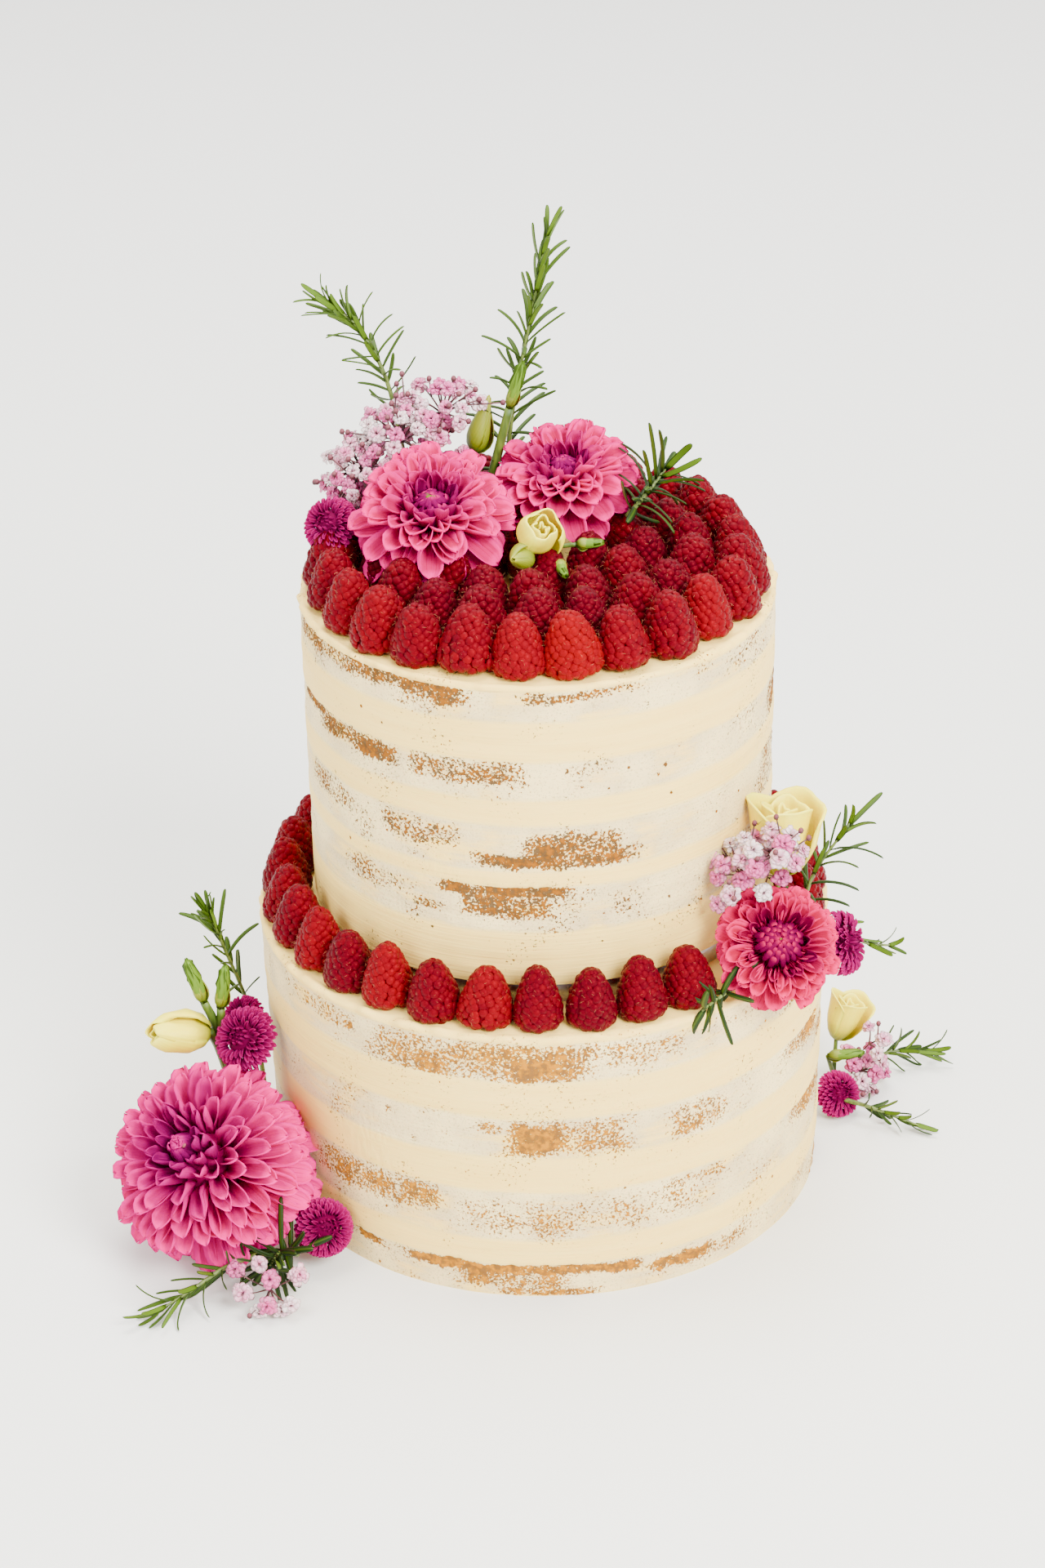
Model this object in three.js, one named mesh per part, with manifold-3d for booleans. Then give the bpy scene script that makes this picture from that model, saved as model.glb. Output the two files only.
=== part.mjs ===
// Naked cake: two round tiers of sponge and cream, a ring of raspberries on the ledge, a bed of raspberries
// on top, and cut flowers with sprigs of rosemary tucked in on the top, the ledge and at the foot.
// Millimetres, +Z up. The origin is the middle of the lower tier's foot, and -Y is the front.

import * as THREE from "three";
import { mergeVertices } from "three/addons/utils/BufferGeometryUtils.js";
import Module from "manifold-3d";

const wasm = await Module();
wasm.setup();

// Tiers
const LOWER = { footRadius: 114, rimRadius: 116.5, height: 122, setBack: 0 };
const CARD = { radius: 91, height: 10 };
const UPPER = { footRadius: 93.5, rimRadius: 94, height: 128.5, setBack: 2 };
const TIER_SIDES = 28;
const SPONGE_INSET = 0.6;
const RIM_ROUND = 1.5;

// Layers of each tier from the top down, each with its thickness
const LOWER_LAYERS = [
  ["cream_top", 2.5], ["sponge_1", 17.5], ["cream_1", 17], ["sponge_2", 18.5],
  ["cream_2", 16.5], ["sponge_3", 22.5], ["cream_3", 12.5], ["sponge_4", 15],
];
const UPPER_LAYERS = [
  ["cream_top", 2], ["sponge_1", 12.5], ["cream_1", 17], ["sponge_2", 16],
  ["cream_2", 11], ["sponge_3", 20], ["cream_3", 7], ["sponge_4", 19.5], ["cream_4", 23.5],
];

// Raspberries
const REST_GAP = 0.25;
const BERRY_PROFILE = [[0, 0], [0.34, 0], [0.5, 0.34], [0.38, 0.8], [0, 1]];
const SUNK_BERRY_PROFILE = [[0, 0], [0.5, 0.34], [0.38, 0.8], [0, 1]];
const BERRY_SIDES = 6;
const LEDGE_RING = { radius: 105.8, setBack: 1, count: 32, firstAngle: -58.25, width: 21.8, height: 23 };
const LEDGE_FLOWER_SLOTS = [30, 31];
const TOP_RINGS = [
  { radius: 81.2, count: 25, firstAngle: -81 },
  { radius: 61.5, count: 18, firstAngle: -72 },
  { radius: 42, count: 12, firstAngle: -60 },
  { radius: 22, count: 6, firstAngle: -80 },
  { radius: 0, count: 1, firstAngle: 0 },
];
const TOP_BERRY = { width: 21.4, height: 22.5 };
const HEAP_CORE = { radius: 79, height: 7, sides: 16 };
const UNDER_BLOOMS = [{ at: [-40, 2], radius: 17 }, { at: [12, 30], radius: 17 }];

// Dahlias: petal whorls as shares of the flower's radius, outermost first
const FLAT_WHORLS = [
  { count: 10, tipRadius: 1, tipHeight: -0.16, rootHeight: -0.08 },
  { count: 9, tipRadius: 0.9, tipHeight: 0.12, rootHeight: 0.02 },
  { count: 8, tipRadius: 0.72, tipHeight: 0.34, rootHeight: 0.12 },
  { count: 5, tipRadius: 0.46, tipHeight: 0.46, rootHeight: 0.2 },
];
const BALL_WHORLS = [
  { count: 10, tipRadius: 0.86, tipHeight: -0.4, rootHeight: -0.2 },
  { count: 11, tipRadius: 1, tipHeight: -0.1, rootHeight: -0.06 },
  { count: 10, tipRadius: 0.94, tipHeight: 0.22, rootHeight: 0.08 },
  { count: 8, tipRadius: 0.74, tipHeight: 0.5, rootHeight: 0.22 },
  { count: 5, tipRadius: 0.44, tipHeight: 0.68, rootHeight: 0.34 },
];
const PETAL_THICKNESS = 2;
const PETAL_WAIST = 0.76;
const FLAT_HEART = { radius: 0.34, height: 0.4 };
const BALL_HEART = { radius: 0.42, height: 0.56 };

const POM_FLATNESS = 0.8;

// Gypsophila: the knot where a spray's stalks part
const FORK_KNOT = 2.6;
const BLOSSOM_SIDES = 4;
const GOLDEN_ANGLE = 137.5;

// A leaf or petal that lost its root to a neighbour is a scrap up to this volume, and is left out
const LARGEST_SCRAP = 60;

const LOWER_TOP = LOWER.height;
const UPPER_FOOT = LOWER.height + CARD.height;
const UPPER_TOP = UPPER_FOOT + UPPER.height;
const UP = new THREE.Vector3(0, 0, 1);
const degrees = THREE.MathUtils.degToRad;

// Plain colours of the real things
const MATERIALS = {
  cream: new THREE.MeshStandardMaterial({ color: 0xf0e5ce, roughness: 0.6, metalness: 0 }),
  sponge: new THREE.MeshStandardMaterial({ color: 0xd8b687, roughness: 0.9, metalness: 0 }),
  card: new THREE.MeshStandardMaterial({ color: 0xb9b7bb, roughness: 0.4, metalness: 0.3 }),
  berry: new THREE.MeshStandardMaterial({ color: 0xb01024, roughness: 0.45, metalness: 0 }),
  dahlia: new THREE.MeshStandardMaterial({ color: 0xe0408c, roughness: 0.6, metalness: 0 }),
  coralDahlia: new THREE.MeshStandardMaterial({ color: 0xe8607a, roughness: 0.6, metalness: 0 }),
  pom: new THREE.MeshStandardMaterial({ color: 0x9c2a8c, roughness: 0.6, metalness: 0 }),
  lisianthus: new THREE.MeshStandardMaterial({ color: 0xece6a6, roughness: 0.6, metalness: 0 }),
  bud: new THREE.MeshStandardMaterial({ color: 0xb8c060, roughness: 0.6, metalness: 0 }),
  rosemary: new THREE.MeshStandardMaterial({ color: 0x6f8a45, roughness: 0.7, metalness: 0 }),
  gypsophila: new THREE.MeshStandardMaterial({ color: 0xe9c8dd, roughness: 0.7, metalness: 0 }),
};

const cake = new THREE.Group();
const standing = [];

// A geometry from coordinates and the corners of its triangles
function indexed(coordinates, corners) {
  const geometry = new THREE.BufferGeometry();
  geometry.setAttribute("position", new THREE.BufferAttribute(new Float32Array(coordinates), 3));
  geometry.setIndex(new THREE.BufferAttribute(new Uint32Array(corners), 1));
  return geometry;
}

// A closed geometry as a solid, with its shared vertices merged
function toSolid(geometry) {
  const bare = new THREE.BufferGeometry();
  bare.setAttribute("position", geometry.getAttribute("position"));
  if (geometry.index) bare.setIndex(geometry.index);
  const merged = mergeVertices(bare, 1e-4);
  const triangles = [];
  const index = merged.index.array;
  for (let i = 0; i < index.length; i += 3) {
    const [a, b, c] = [index[i], index[i + 1], index[i + 2]];
    if (a !== b && b !== c && c !== a) triangles.push(a, b, c);
  }
  const vertProperties = new Float32Array(merged.getAttribute("position").array);
  const triVerts = new Uint32Array(triangles);
  return new wasm.Manifold(new wasm.Mesh({ numProp: 3, vertProperties, triVerts }));
}

// A solid as a geometry with flat faces
function toGeometry(solid) {
  const mesh = solid.getMesh();
  const flat = indexed(mesh.vertProperties, mesh.triVerts).toNonIndexed();
  flat.computeVertexNormals();
  return flat;
}

// Puts a solid into the cake without its loose scraps, and keeps it for later pieces to stay clear of
function place(name, material, whole) {
  const [solid, ...scraps] = whole.decompose().sort((a, b) => b.volume() - a.volume());
  if (scraps.some((scrap) => scrap.volume() > LARGEST_SCRAP)) throw new Error(`${name} has come apart`);
  const mesh = new THREE.Mesh(toGeometry(solid), MATERIALS[material]);
  mesh.name = name;
  cake.add(mesh);
  standing.push(solid);
}

function boxesMeet(a, b) {
  return [0, 1, 2].every((i) => a.min[i] < b.max[i] && b.min[i] < a.max[i]);
}

// True if a piece, grown a little about its middle, meets nothing that already stands and stays off the floor
function standsClear(solid, others = standing) {
  const box = solid.boundingBox();
  if (box.min[2] < 0) return false;
  const middle = box.min.map((low, i) => (low + box.max[i]) / 2);
  const growth = box.min.map((low, i) => 1 + (2 * REST_GAP) / (box.max[i] - low));
  const grown = solid.translate(middle.map((m) => -m)).scale(growth).translate(middle);
  const grownBox = grown.boundingBox();
  const near = others.filter((other) => boxesMeet(grownBox, other.boundingBox()));
  return near.every((other) => grown.intersect(other).isEmpty());
}

// The first of a piece's sizes that stands clear, from whole to short, or nothing
function longestThatFits(make, shares = [1, 0.86, 0.72, 0.58]) {
  for (const share of shares) {
    const piece = make(share);
    if (standsClear(piece)) return [piece];
  }
  return [];
}

// A matrix whose Z axis points along facing, at a place, turned by spin degrees about that axis
function turned(at, facing, spin = 0) {
  const z = new THREE.Vector3(...facing).normalize();
  const side = Math.abs(z.z) > 0.98 ? new THREE.Vector3(0, 1, 0) : new THREE.Vector3(0, 0, 1);
  const x = new THREE.Vector3().crossVectors(side, z).normalize();
  const y = new THREE.Vector3().crossVectors(z, x);
  const matrix = new THREE.Matrix4().makeBasis(x, y, z).setPosition(...at);
  return matrix.multiply(new THREE.Matrix4().makeRotationZ(degrees(spin)));
}

// A profile of [radius, height] pairs turned about Z
function lathe(profile, sides) {
  const points = profile.map(([radius, height]) => new THREE.Vector2(radius, height));
  return new THREE.LatheGeometry(points, sides).rotateX(Math.PI / 2);
}

// A thin leaf or petal along X: a pointed root, a waist with two edges, a top and an underside, and a tip.
// Both faces are split alike, and the middle of the waist is sunk below the edges by cup.
function blade({ length, width, waist, thickness, cup, arch, lift }) {
  const x = length * waist;
  const corners = [
    [0, 0, 0], [x, -width / 2, arch], [x, 0, arch - cup + thickness / 2], [x, width / 2, arch],
    [x, 0, arch - cup - thickness / 2], [length, 0, lift],
  ];
  return indexed(corners.flat(), [0, 1, 2, 0, 2, 3, 0, 3, 4, 0, 4, 1, 5, 2, 1, 5, 3, 2, 5, 4, 3, 5, 1, 4]);
}

// A turned shape that follows a path: a ring of corners at each point, as wide as given there. A width of 0
// at either end closes to a point, and any other is closed by a flat face.
function spindle(path, widths, sides) {
  const points = path.map((p) => new THREE.Vector3(...p));
  const positions = [];
  const rings = points.map((point, i) => {
    const ahead = points[Math.min(i + 1, points.length - 1)];
    const behind = points[Math.max(i - 1, 0)];
    const along = new THREE.Vector3().subVectors(ahead, behind).normalize();
    const matrix = turned(point.toArray(), along.toArray());
    const first = positions.length / 3;
    const corners = widths[i] > 0 ? sides : 1;
    for (let k = 0; k < corners; k += 1) {
      const angle = (2 * Math.PI * k) / sides;
      const corner = new THREE.Vector3(Math.cos(angle), Math.sin(angle), 0).multiplyScalar(widths[i] / 2);
      positions.push(...corner.applyMatrix4(matrix).toArray());
    }
    return (k) => first + (corners > 1 ? k % sides : 0);
  });
  const index = [];
  for (let i = 0; i + 1 < rings.length; i += 1) {
    for (let k = 0; k < sides; k += 1) {
      const [a, b, c, d] = [rings[i](k), rings[i](k + 1), rings[i + 1](k + 1), rings[i + 1](k)];
      index.push(a, b, c, a, c, d);
    }
  }
  const [start, end] = [rings[0], rings[rings.length - 1]];
  for (let k = 1; k + 1 < sides; k += 1) {
    index.push(start(0), start(k + 1), start(k), end(0), end(k), end(k + 1));
  }
  return toSolid(indexed(positions, index));
}

// A stem that tapers evenly from one width to another
function stem(path, startWidth, endWidth, sides = 3) {
  const widths = path.map((point, i) => THREE.MathUtils.lerp(startWidth, endWidth, i / (path.length - 1)));
  return spindle(path, widths, sides);
}

// Points along a smooth curve through a few given ones
function curvePoints(path, steps) {
  const curve = new THREE.CatmullRomCurve3(path.map((p) => new THREE.Vector3(...p)));
  return curve.getPoints(steps).map((p) => p.toArray());
}

// Tiers: each layer is a disc, and the topmost one has a rounded rim
function tier(name, size, layers, foot) {
  const radiusAt = (z) => THREE.MathUtils.lerp(size.footRadius, size.rimRadius, (z - foot) / size.height);
  let top = foot + size.height;
  for (const [layer, thickness] of layers) {
    const bottom = top - thickness;
    const isSponge = layer.startsWith("sponge");
    const inset = isSponge ? SPONGE_INSET : 0;
    const profile = [[0, bottom], [radiusAt(bottom) - inset, bottom]];
    if (layer === "cream_top") {
      profile.push([radiusAt(top), top - RIM_ROUND], [radiusAt(top) - RIM_ROUND, top], [0, top]);
    } else {
      profile.push([radiusAt(top) - inset, top], [0, top]);
    }
    const disc = toSolid(lathe(profile, TIER_SIDES)).translate([0, size.setBack, 0]);
    place(`${name}_${layer}`, isSponge ? "sponge" : "cream", disc);
    top = bottom;
  }
}

function tierCard() {
  const profile = [[0, LOWER_TOP], [CARD.radius, LOWER_TOP], [CARD.radius, UPPER_FOOT], [0, UPPER_FOOT]];
  place("tier_card", "card", toSolid(lathe(profile, TIER_SIDES)).translate([0, UPPER.setBack, 0]));
}

// A raspberry standing on its open end, as a rounded cone
function berry({ width, height, at, lean, spin, profile = BERRY_PROFILE }) {
  const geometry = lathe(profile.map(([r, h]) => [r * width, h * height]), BERRY_SIDES);
  const matrix = new THREE.Matrix4().makeTranslation(...at);
  matrix.multiply(new THREE.Matrix4().set(1, 0, lean[0], 0, 0, 1, lean[1], 0, 0, 0, 1, 0, 0, 0, 0, 1));
  matrix.multiply(new THREE.Matrix4().makeRotationZ(degrees(spin)));
  return toSolid(geometry.applyMatrix4(matrix));
}

// Even but not equal: a size that wanders a little from one berry to the next
const wander = (i) => 1 + 0.035 * Math.sin(i * 2.4);

function ledgeBerries() {
  const berries = [];
  for (let slot = 0; slot < LEDGE_RING.count; slot += 1) {
    if (LEDGE_FLOWER_SLOTS.includes(slot)) continue;
    const degreesRound = LEDGE_RING.firstAngle - (slot * 360) / LEDGE_RING.count;
    const angle = degrees(degreesRound);
    const [x, y] = [Math.cos(angle), Math.sin(angle)];
    const at = [x * LEDGE_RING.radius, y * LEDGE_RING.radius + LEDGE_RING.setBack, LOWER_TOP + REST_GAP];
    const make = (share) => {
      const height = LEDGE_RING.height * wander(slot) * share;
      const lean = [-x * 0.03, -y * 0.03];
      return berry({ width: LEDGE_RING.width, height, at, lean, spin: degreesRound });
    };
    berries.push(...longestThatFits(make));
  }
  place("ledge_berries", "berry", wasm.Manifold.union(berries));
}

function topBerries() {
  const base = UPPER_TOP + REST_GAP;
  const { radius, height, sides } = HEAP_CORE;
  const core = lathe([[0, 0], [radius, 0], [radius, height], [0, height]], sides);
  const pieces = [toSolid(core).translate([0, UPPER.setBack, base])];
  let drawn = 0;
  for (const ring of TOP_RINGS) {
    const profile = ring === TOP_RINGS[0] ? BERRY_PROFILE : SUNK_BERRY_PROFILE;
    for (let i = 0; i < ring.count; i += 1) {
      const degreesRound = ring.firstAngle + (i * 360) / ring.count;
      const angle = degrees(degreesRound);
      const [x, y] = [Math.cos(angle), Math.sin(angle)];
      const at = [x * ring.radius, y * ring.radius + UPPER.setBack, base];
      const isUnder = (bloom) => Math.hypot(at[0] - bloom.at[0], at[1] - bloom.at[1]) < bloom.radius;
      if (UNDER_BLOOMS.some(isUnder)) continue;
      drawn += 1;
      const size = wander(drawn);
      const lean = [-x * 0.08, -y * 0.08];
      const width = TOP_BERRY.width * size;
      const make = (share) => {
        return berry({ width, height: TOP_BERRY.height * share, at, lean, spin: degreesRound, profile });
      };
      pieces.push(...longestThatFits(make));
    }
  }
  place("top_berries", "berry", wasm.Manifold.union(pieces));
}

// A dahlia: a domed heart on a short calyx, with whorls of cupped petals fused to it. Its droop bends the
// whorls down, the outermost the most.
function dahlia(name, material, flower) {
  const { centre, facing, radius, whorls, heart, spin, stemTo, droop = 0 } = flower;
  const frame = turned(centre, facing, spin);
  const profile = [
    [0, -0.34], [heart.radius, -0.1], [heart.radius * 0.92, heart.height * 0.6], [0, heart.height],
  ];
  const core = lathe(profile.map(([r, h]) => [r * radius, h * radius]), 8).applyMatrix4(frame);
  const pieces = [toSolid(core)];
  whorls.forEach((whorl, row) => {
    for (let i = 0; i < whorl.count; i += 1) {
      const round = degrees(((i + 0.5 * (row % 2)) * 360) / whorl.count + row * 7);
      const tipHeight = whorl.tipHeight - droop * whorl.tipRadius ** 3;
      const make = (share) => petal({ ...whorl, tipHeight }, radius, heart.radius, round, frame, share);
      pieces.push(...longestThatFits(make));
    }
  });
  if (stemTo) {
    const calyx = new THREE.Vector3(0, 0, -0.3 * radius).applyMatrix4(frame).toArray();
    pieces.push(stem([calyx, stemTo], 4, 3.4, 5));
  }
  place(name, material, wasm.Manifold.union(pieces));
}

function petal(whorl, radius, heartRadius, round, frame, share) {
  const rootRadius = heartRadius * 0.5 * radius;
  const run = whorl.tipRadius * radius - rootRadius;
  const rise = (whorl.tipHeight - whorl.rootHeight) * radius;
  const length = Math.hypot(run, rise) * share;
  const width = (2 * Math.PI * (rootRadius + run * PETAL_WAIST) * 0.93) / whorl.count;
  const curl = { cup: width * 0.12, arch: length * 0.06, lift: length * 0.03 };
  const leaf = blade({ length, width, waist: PETAL_WAIST, thickness: PETAL_THICKNESS, ...curl });
  const outward = new THREE.Vector3(Math.cos(round), Math.sin(round), 0);
  const tangent = new THREE.Vector3(-Math.sin(round), Math.cos(round), 0);
  const along = outward.clone().multiplyScalar(run).add(new THREE.Vector3(0, 0, rise)).normalize();
  const normal = new THREE.Vector3().crossVectors(along, tangent);
  const root = outward.clone().multiplyScalar(rootRadius).setZ(whorl.rootHeight * radius);
  const matrix = new THREE.Matrix4().makeBasis(along, tangent, normal).setPosition(root);
  return toSolid(leaf.applyMatrix4(matrix.premultiply(frame)));
}

// A pompon bloom: a ball flattened along its facing
function pom(name, at, facing, radius, stemTo) {
  const ball = new THREE.IcosahedronGeometry(radius, 1).scale(1, 1, POM_FLATNESS);
  const pieces = [toSolid(ball.applyMatrix4(turned(at, facing)))];
  if (stemTo) pieces.push(stem([at, stemTo], 2.4, 2, 4));
  place(name, "pom", wasm.Manifold.union(pieces));
}

// A closed bud: a pointed egg with a slight twist of its folded petals
function budGeometry(length, width) {
  const profile = [[0, 0], [0.34, 0.06], [0.5, 0.4], [0.34, 0.8], [0, 1]];
  const geometry = lathe(profile.map(([r, h]) => [r * width, h * length]), 6);
  const position = geometry.getAttribute("position");
  for (let i = 0; i < position.count; i += 1) {
    const [x, y, z] = [position.getX(i), position.getY(i), position.getZ(i)];
    const fold = 1 + 0.12 * Math.cos(3 * (Math.atan2(y, x) + z / length));
    position.setXYZ(i, x * fold, y * fold, z);
  }
  return geometry;
}

// An opened lisianthus: a trumpet with a waved rim and a hollow throat
function trumpetGeometry(length, width) {
  const profile = [
    [0, 0], [0.2, 0.02], [0.36, 0.42], [0.5, 0.98], [0.44, 1], [0, 0.6],
  ];
  const geometry = lathe(profile.map(([r, h]) => [r * width, h * length]), 12);
  const position = geometry.getAttribute("position");
  for (let i = 0; i < position.count; i += 1) {
    const [x, y, z] = [position.getX(i), position.getY(i), position.getZ(i)];
    const opening = (z / length) ** 2;
    const wave = 1 + 0.1 * opening * Math.cos(4 * Math.atan2(y, x));
    position.setXYZ(i, x * wave, y * wave, z);
  }
  return geometry;
}

// A lisianthus stalk: buds and flowers at the ends of stems that share one foot
function lisianthus(name, material, foot, heads) {
  const pieces = [];
  for (const { at, facing, length, width, open, via } of heads) {
    const geometry = open ? trumpetGeometry(length, width) : budGeometry(length, width);
    pieces.push(toSolid(geometry.applyMatrix4(turned(at, facing))));
    const neck = new THREE.Vector3(...facing).normalize().multiplyScalar(length * 0.12);
    const inside = neck.add(new THREE.Vector3(...at)).toArray();
    const path = via ? [foot, via, inside] : [foot, inside];
    pieces.push(stem(path, 2.2, 2));
  }
  place(name, material, wasm.Manifold.union(pieces));
}

// A sprig of rosemary: a tapering stem with needles in pairs, longest half way up
function rosemary(name, path, { count, length, spread, width = 2.6, turn = 62 }) {
  const points = curvePoints(path, 3);
  const pieces = [stem(points, 2.6, 1.2)];
  for (let i = 0; i < count; i += 1) {
    const share = count > 1 ? i / (count - 1) : 0;
    const { at, direction } = pointAlong(points, 0.12 + 0.86 * share);
    const frame = turned(at, direction, i * 180 + Math.floor(i / 2) * turn);
    const opening = THREE.MathUtils.lerp(spread, spread * 0.35, share);
    const size = length * (0.72 + 0.28 * Math.sin(Math.PI * Math.min(share + 0.2, 1)));
    const make = (cut) => needle(size * cut, width, opening, frame);
    pieces.push(...longestThatFits(make));
  }
  place(name, "rosemary", wasm.Manifold.union(pieces));
}

// The point a share of the way along a stem's straight pieces, and the direction there
function pointAlong(points, share) {
  const place = share * (points.length - 1);
  const i = Math.min(Math.floor(place), points.length - 2);
  const from = new THREE.Vector3(...points[i]);
  const to = new THREE.Vector3(...points[i + 1]);
  const direction = new THREE.Vector3().subVectors(to, from).normalize();
  return { at: from.lerp(to, place - i).toArray(), direction: direction.toArray() };
}

function needle(length, width, opening, frame) {
  const leaf = blade({ length, width, waist: 0.55, thickness: 1.3, cup: 0.1, arch: 0, lift: length * 0.1 });
  const tilt = degrees(opening);
  const along = new THREE.Vector3(Math.sin(tilt), 0, Math.cos(tilt));
  const across = new THREE.Vector3(0, 1, 0);
  const normal = new THREE.Vector3().crossVectors(along, across);
  const matrix = new THREE.Matrix4().makeBasis(along, across, normal);
  return toSolid(leaf.applyMatrix4(matrix.premultiply(frame)));
}

// A spray of gypsophila: blossoms on thin stalks that part at a few knots, spread by the golden angle
function gypsophila(name, foot, forks) {
  const pieces = [];
  let turn = 0;
  for (const fork of forks) {
    const frame = turned(fork.at, fork.facing);
    const knot = new THREE.OctahedronGeometry(FORK_KNOT).applyMatrix4(frame);
    pieces.push(stem([fork.from ?? foot, fork.at], 1.6, 1.4), toSolid(knot));
    for (let i = 0; i < fork.count; i += 1) {
      turn += GOLDEN_ANGLE;
      const out = Math.sqrt((i + 0.5) / fork.count) * fork.spread;
      const tip = new THREE.Vector3(out, 0, fork.reach - out * 0.25);
      tip.applyAxisAngle(UP, degrees(turn)).applyMatrix4(frame);
      const stalk = blossomOnStalk(new THREE.Vector3(...fork.at), tip, fork.blossom);
      if (standsClear(stalk)) pieces.push(stalk);
    }
  }
  place(name, "gypsophila", wasm.Manifold.union(pieces));
}

function blossomOnStalk(from, tip, width) {
  const length = from.distanceTo(tip);
  const at = (reach) => from.clone().lerp(tip, reach / length).toArray();
  const path = [from.toArray(), at(length - width * 0.45), at(length), at(length + width * 0.3)];
  return spindle(path, [0, 1.3, width, 0], BLOSSOM_SIDES);
}

tier("lower", LOWER, LOWER_LAYERS, 0);
tierCard();
tier("upper", UPPER, UPPER_LAYERS, UPPER_FOOT);

// Top bouquet
pom("pom_top_left", [-80.5, 8, 285], [-0.5, -0.6, 0.6], 11, [-78, 12, 268.5]);
dahlia("dahlia_top_left", "dahlia", {
  centre: [-40.5, -1, 293.5], facing: [0, -0.43, 0.9], radius: 34.5, whorls: FLAT_WHORLS, heart: FLAT_HEART,
  spin: 0,
});
dahlia("dahlia_top_right", "dahlia", {
  centre: [12, 30, 294.5], facing: [-0.14, -0.27, 0.95], radius: 31.5, whorls: FLAT_WHORLS,
  heart: FLAT_HEART, spin: 20, droop: 0.2,
});
lisianthus("lisianthus_top_buds", "bud", [-22, 47, 268.5], [
  { at: [-23.5, 45, 300], facing: [0.2, 0, 1], length: 22, width: 12 },
  { at: [-9.5, 41, 319.5], facing: [0.3, 0, 1], length: 19, width: 7.5, via: [-14.5, 42, 300] },
]);
lisianthus("lisianthus_top_spray", "lisianthus", [0, -8, 280], [
  { at: [-1.5, -12, 283.5], facing: [-0.1, -0.75, 0.8], length: 15, width: 22, open: true },
  { at: [-3, -19, 282], facing: [-0.4, -0.85, 0.1], length: 10, width: 10.5 },
  { at: [15.5, -11.5, 283], facing: [1, -0.1, 0.1], length: 8, width: 6 },
  { at: [8, -20.5, 280], facing: [0.3, -1, -0.2], length: 8, width: 6 },
]);
rosemary("rosemary_top_tall", [[-13, 60, 268.5], [-8, 54, 315], [-1, 51, 350], [7, 50, 384]],
  { count: 18, length: 25, spread: 56 });
rosemary("rosemary_top_left", [[-50, 58, 268.5], [-57, 59, 320], [-68, 60, 346], [-80, 60, 359]],
  { count: 12, length: 18, spread: 50 });
rosemary("rosemary_top_right", [[36, 12, 284], [44, 14, 293], [52, 20, 301]],
  { count: 10, length: 23, spread: 82 });
gypsophila("gypsophila_top", [-50, 42, 268.5], [
  { at: [-66, 38, 300], facing: [-0.5, -0.3, 0.7], spread: 16, reach: 10, count: 8, blossom: 8 },
  { at: [-46, 40, 316], facing: [-0.1, -0.3, 0.9], spread: 16, reach: 10, count: 8, blossom: 8 },
  { at: [-27, 44, 323], facing: [0.1, -0.3, 0.9], spread: 14, reach: 8, count: 6, blossom: 8 },
]);

// Ledge bouquet
dahlia("dahlia_side", "coralDahlia", {
  centre: [90.5, -85.5, 143.5], facing: [0.05, -0.74, 0.67], radius: 27, whorls: FLAT_WHORLS,
  heart: FLAT_HEART, spin: 10, stemTo: [83, -68, 124.8],
});
pom("pom_side", [118.3, -52, 124.5], [1, -0.3, 0.3], 12.5, [107, -40, 124]);
lisianthus("lisianthus_side", "lisianthus", [90, -56, 122.4], [
  { at: [92, -53, 158], facing: [0.05, -0.2, 1], length: 32, width: 32, open: true },
]);
gypsophila("gypsophila_side", [84, -61, 122.4], [
  { at: [78, -68, 165], facing: [-0.3, -0.5, 0.8], spread: 18, reach: 14, count: 9, blossom: 7.5 },
  {
    from: [78, -68, 165], at: [89, -73, 176], facing: [0.1, -0.4, 0.9],
    spread: 13, reach: 9, count: 6, blossom: 7.5,
  },
]);
rosemary("rosemary_side_up", [[101, -50, 122.4], [106, -49, 152], [122, -45, 176]],
  { count: 10, length: 25, spread: 50 });
rosemary("rosemary_side_star", [[80, -80, 125], [70, -93, 127.5], [60, -104, 126]],
  { count: 9, length: 20, spread: 70 });
rosemary("rosemary_side_low", [[108, -33, 123.8], [118, -35, 123.6], [129, -37, 116], [141, -37, 114]],
  { count: 6, length: 12, spread: 45 });

// Bouquet at the foot, on the left
dahlia("dahlia_base", "dahlia", {
  centre: [-136.5, -74, 40.5], facing: [-0.42, -0.55, 0.72], radius: 45, whorls: BALL_WHORLS,
  heart: BALL_HEART, spin: 5, stemTo: [-119, -50, 14],
});
pom("pom_base_upper", [-122.5, -41.5, 79.4], [-0.5, -0.6, 0.6], 13, [-117, -32, 2]);
pom("pom_base_behind", [-125.5, -14, 72.5], [-0.6, -0.5, 0.6], 9.5, [-118.5, -16, 2]);
pom("pom_base_lower", [-92, -88, 18], [0.3, -0.8, 0.5], 11.5, [-100, -82, 8]);
lisianthus("lisianthus_base", "lisianthus", [-122, -24, 2], [
  { at: [-138.5, -30.5, 77], facing: [-0.8, -0.5, 0.1], length: 24, width: 21, via: [-134, -26, 60] },
  { at: [-140, -29, 90], facing: [-0.3, 0, 1], length: 16, width: 8, via: [-135, -27, 72] },
  { at: [-133.5, -29, 87], facing: [0, 0, 1], length: 15, width: 7.5, via: [-133.5, -27, 66] },
]);
rosemary("rosemary_base_up", [[-118, 0, 2], [-123, 2, 60], [-133, -8, 105], [-138, -11, 122]],
  { count: 12, length: 20, spread: 52 });
rosemary("rosemary_base_low", [[-118, -97, 12], [-131, -107, 13], [-145, -116, 8], [-158, -124, 4]],
  { count: 10, length: 20, spread: 60 });
rosemary("rosemary_base_front", [[-103, -92, 8], [-109, -100, 15], [-113, -108, 14]],
  { count: 10, length: 18, spread: 80 });
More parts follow.
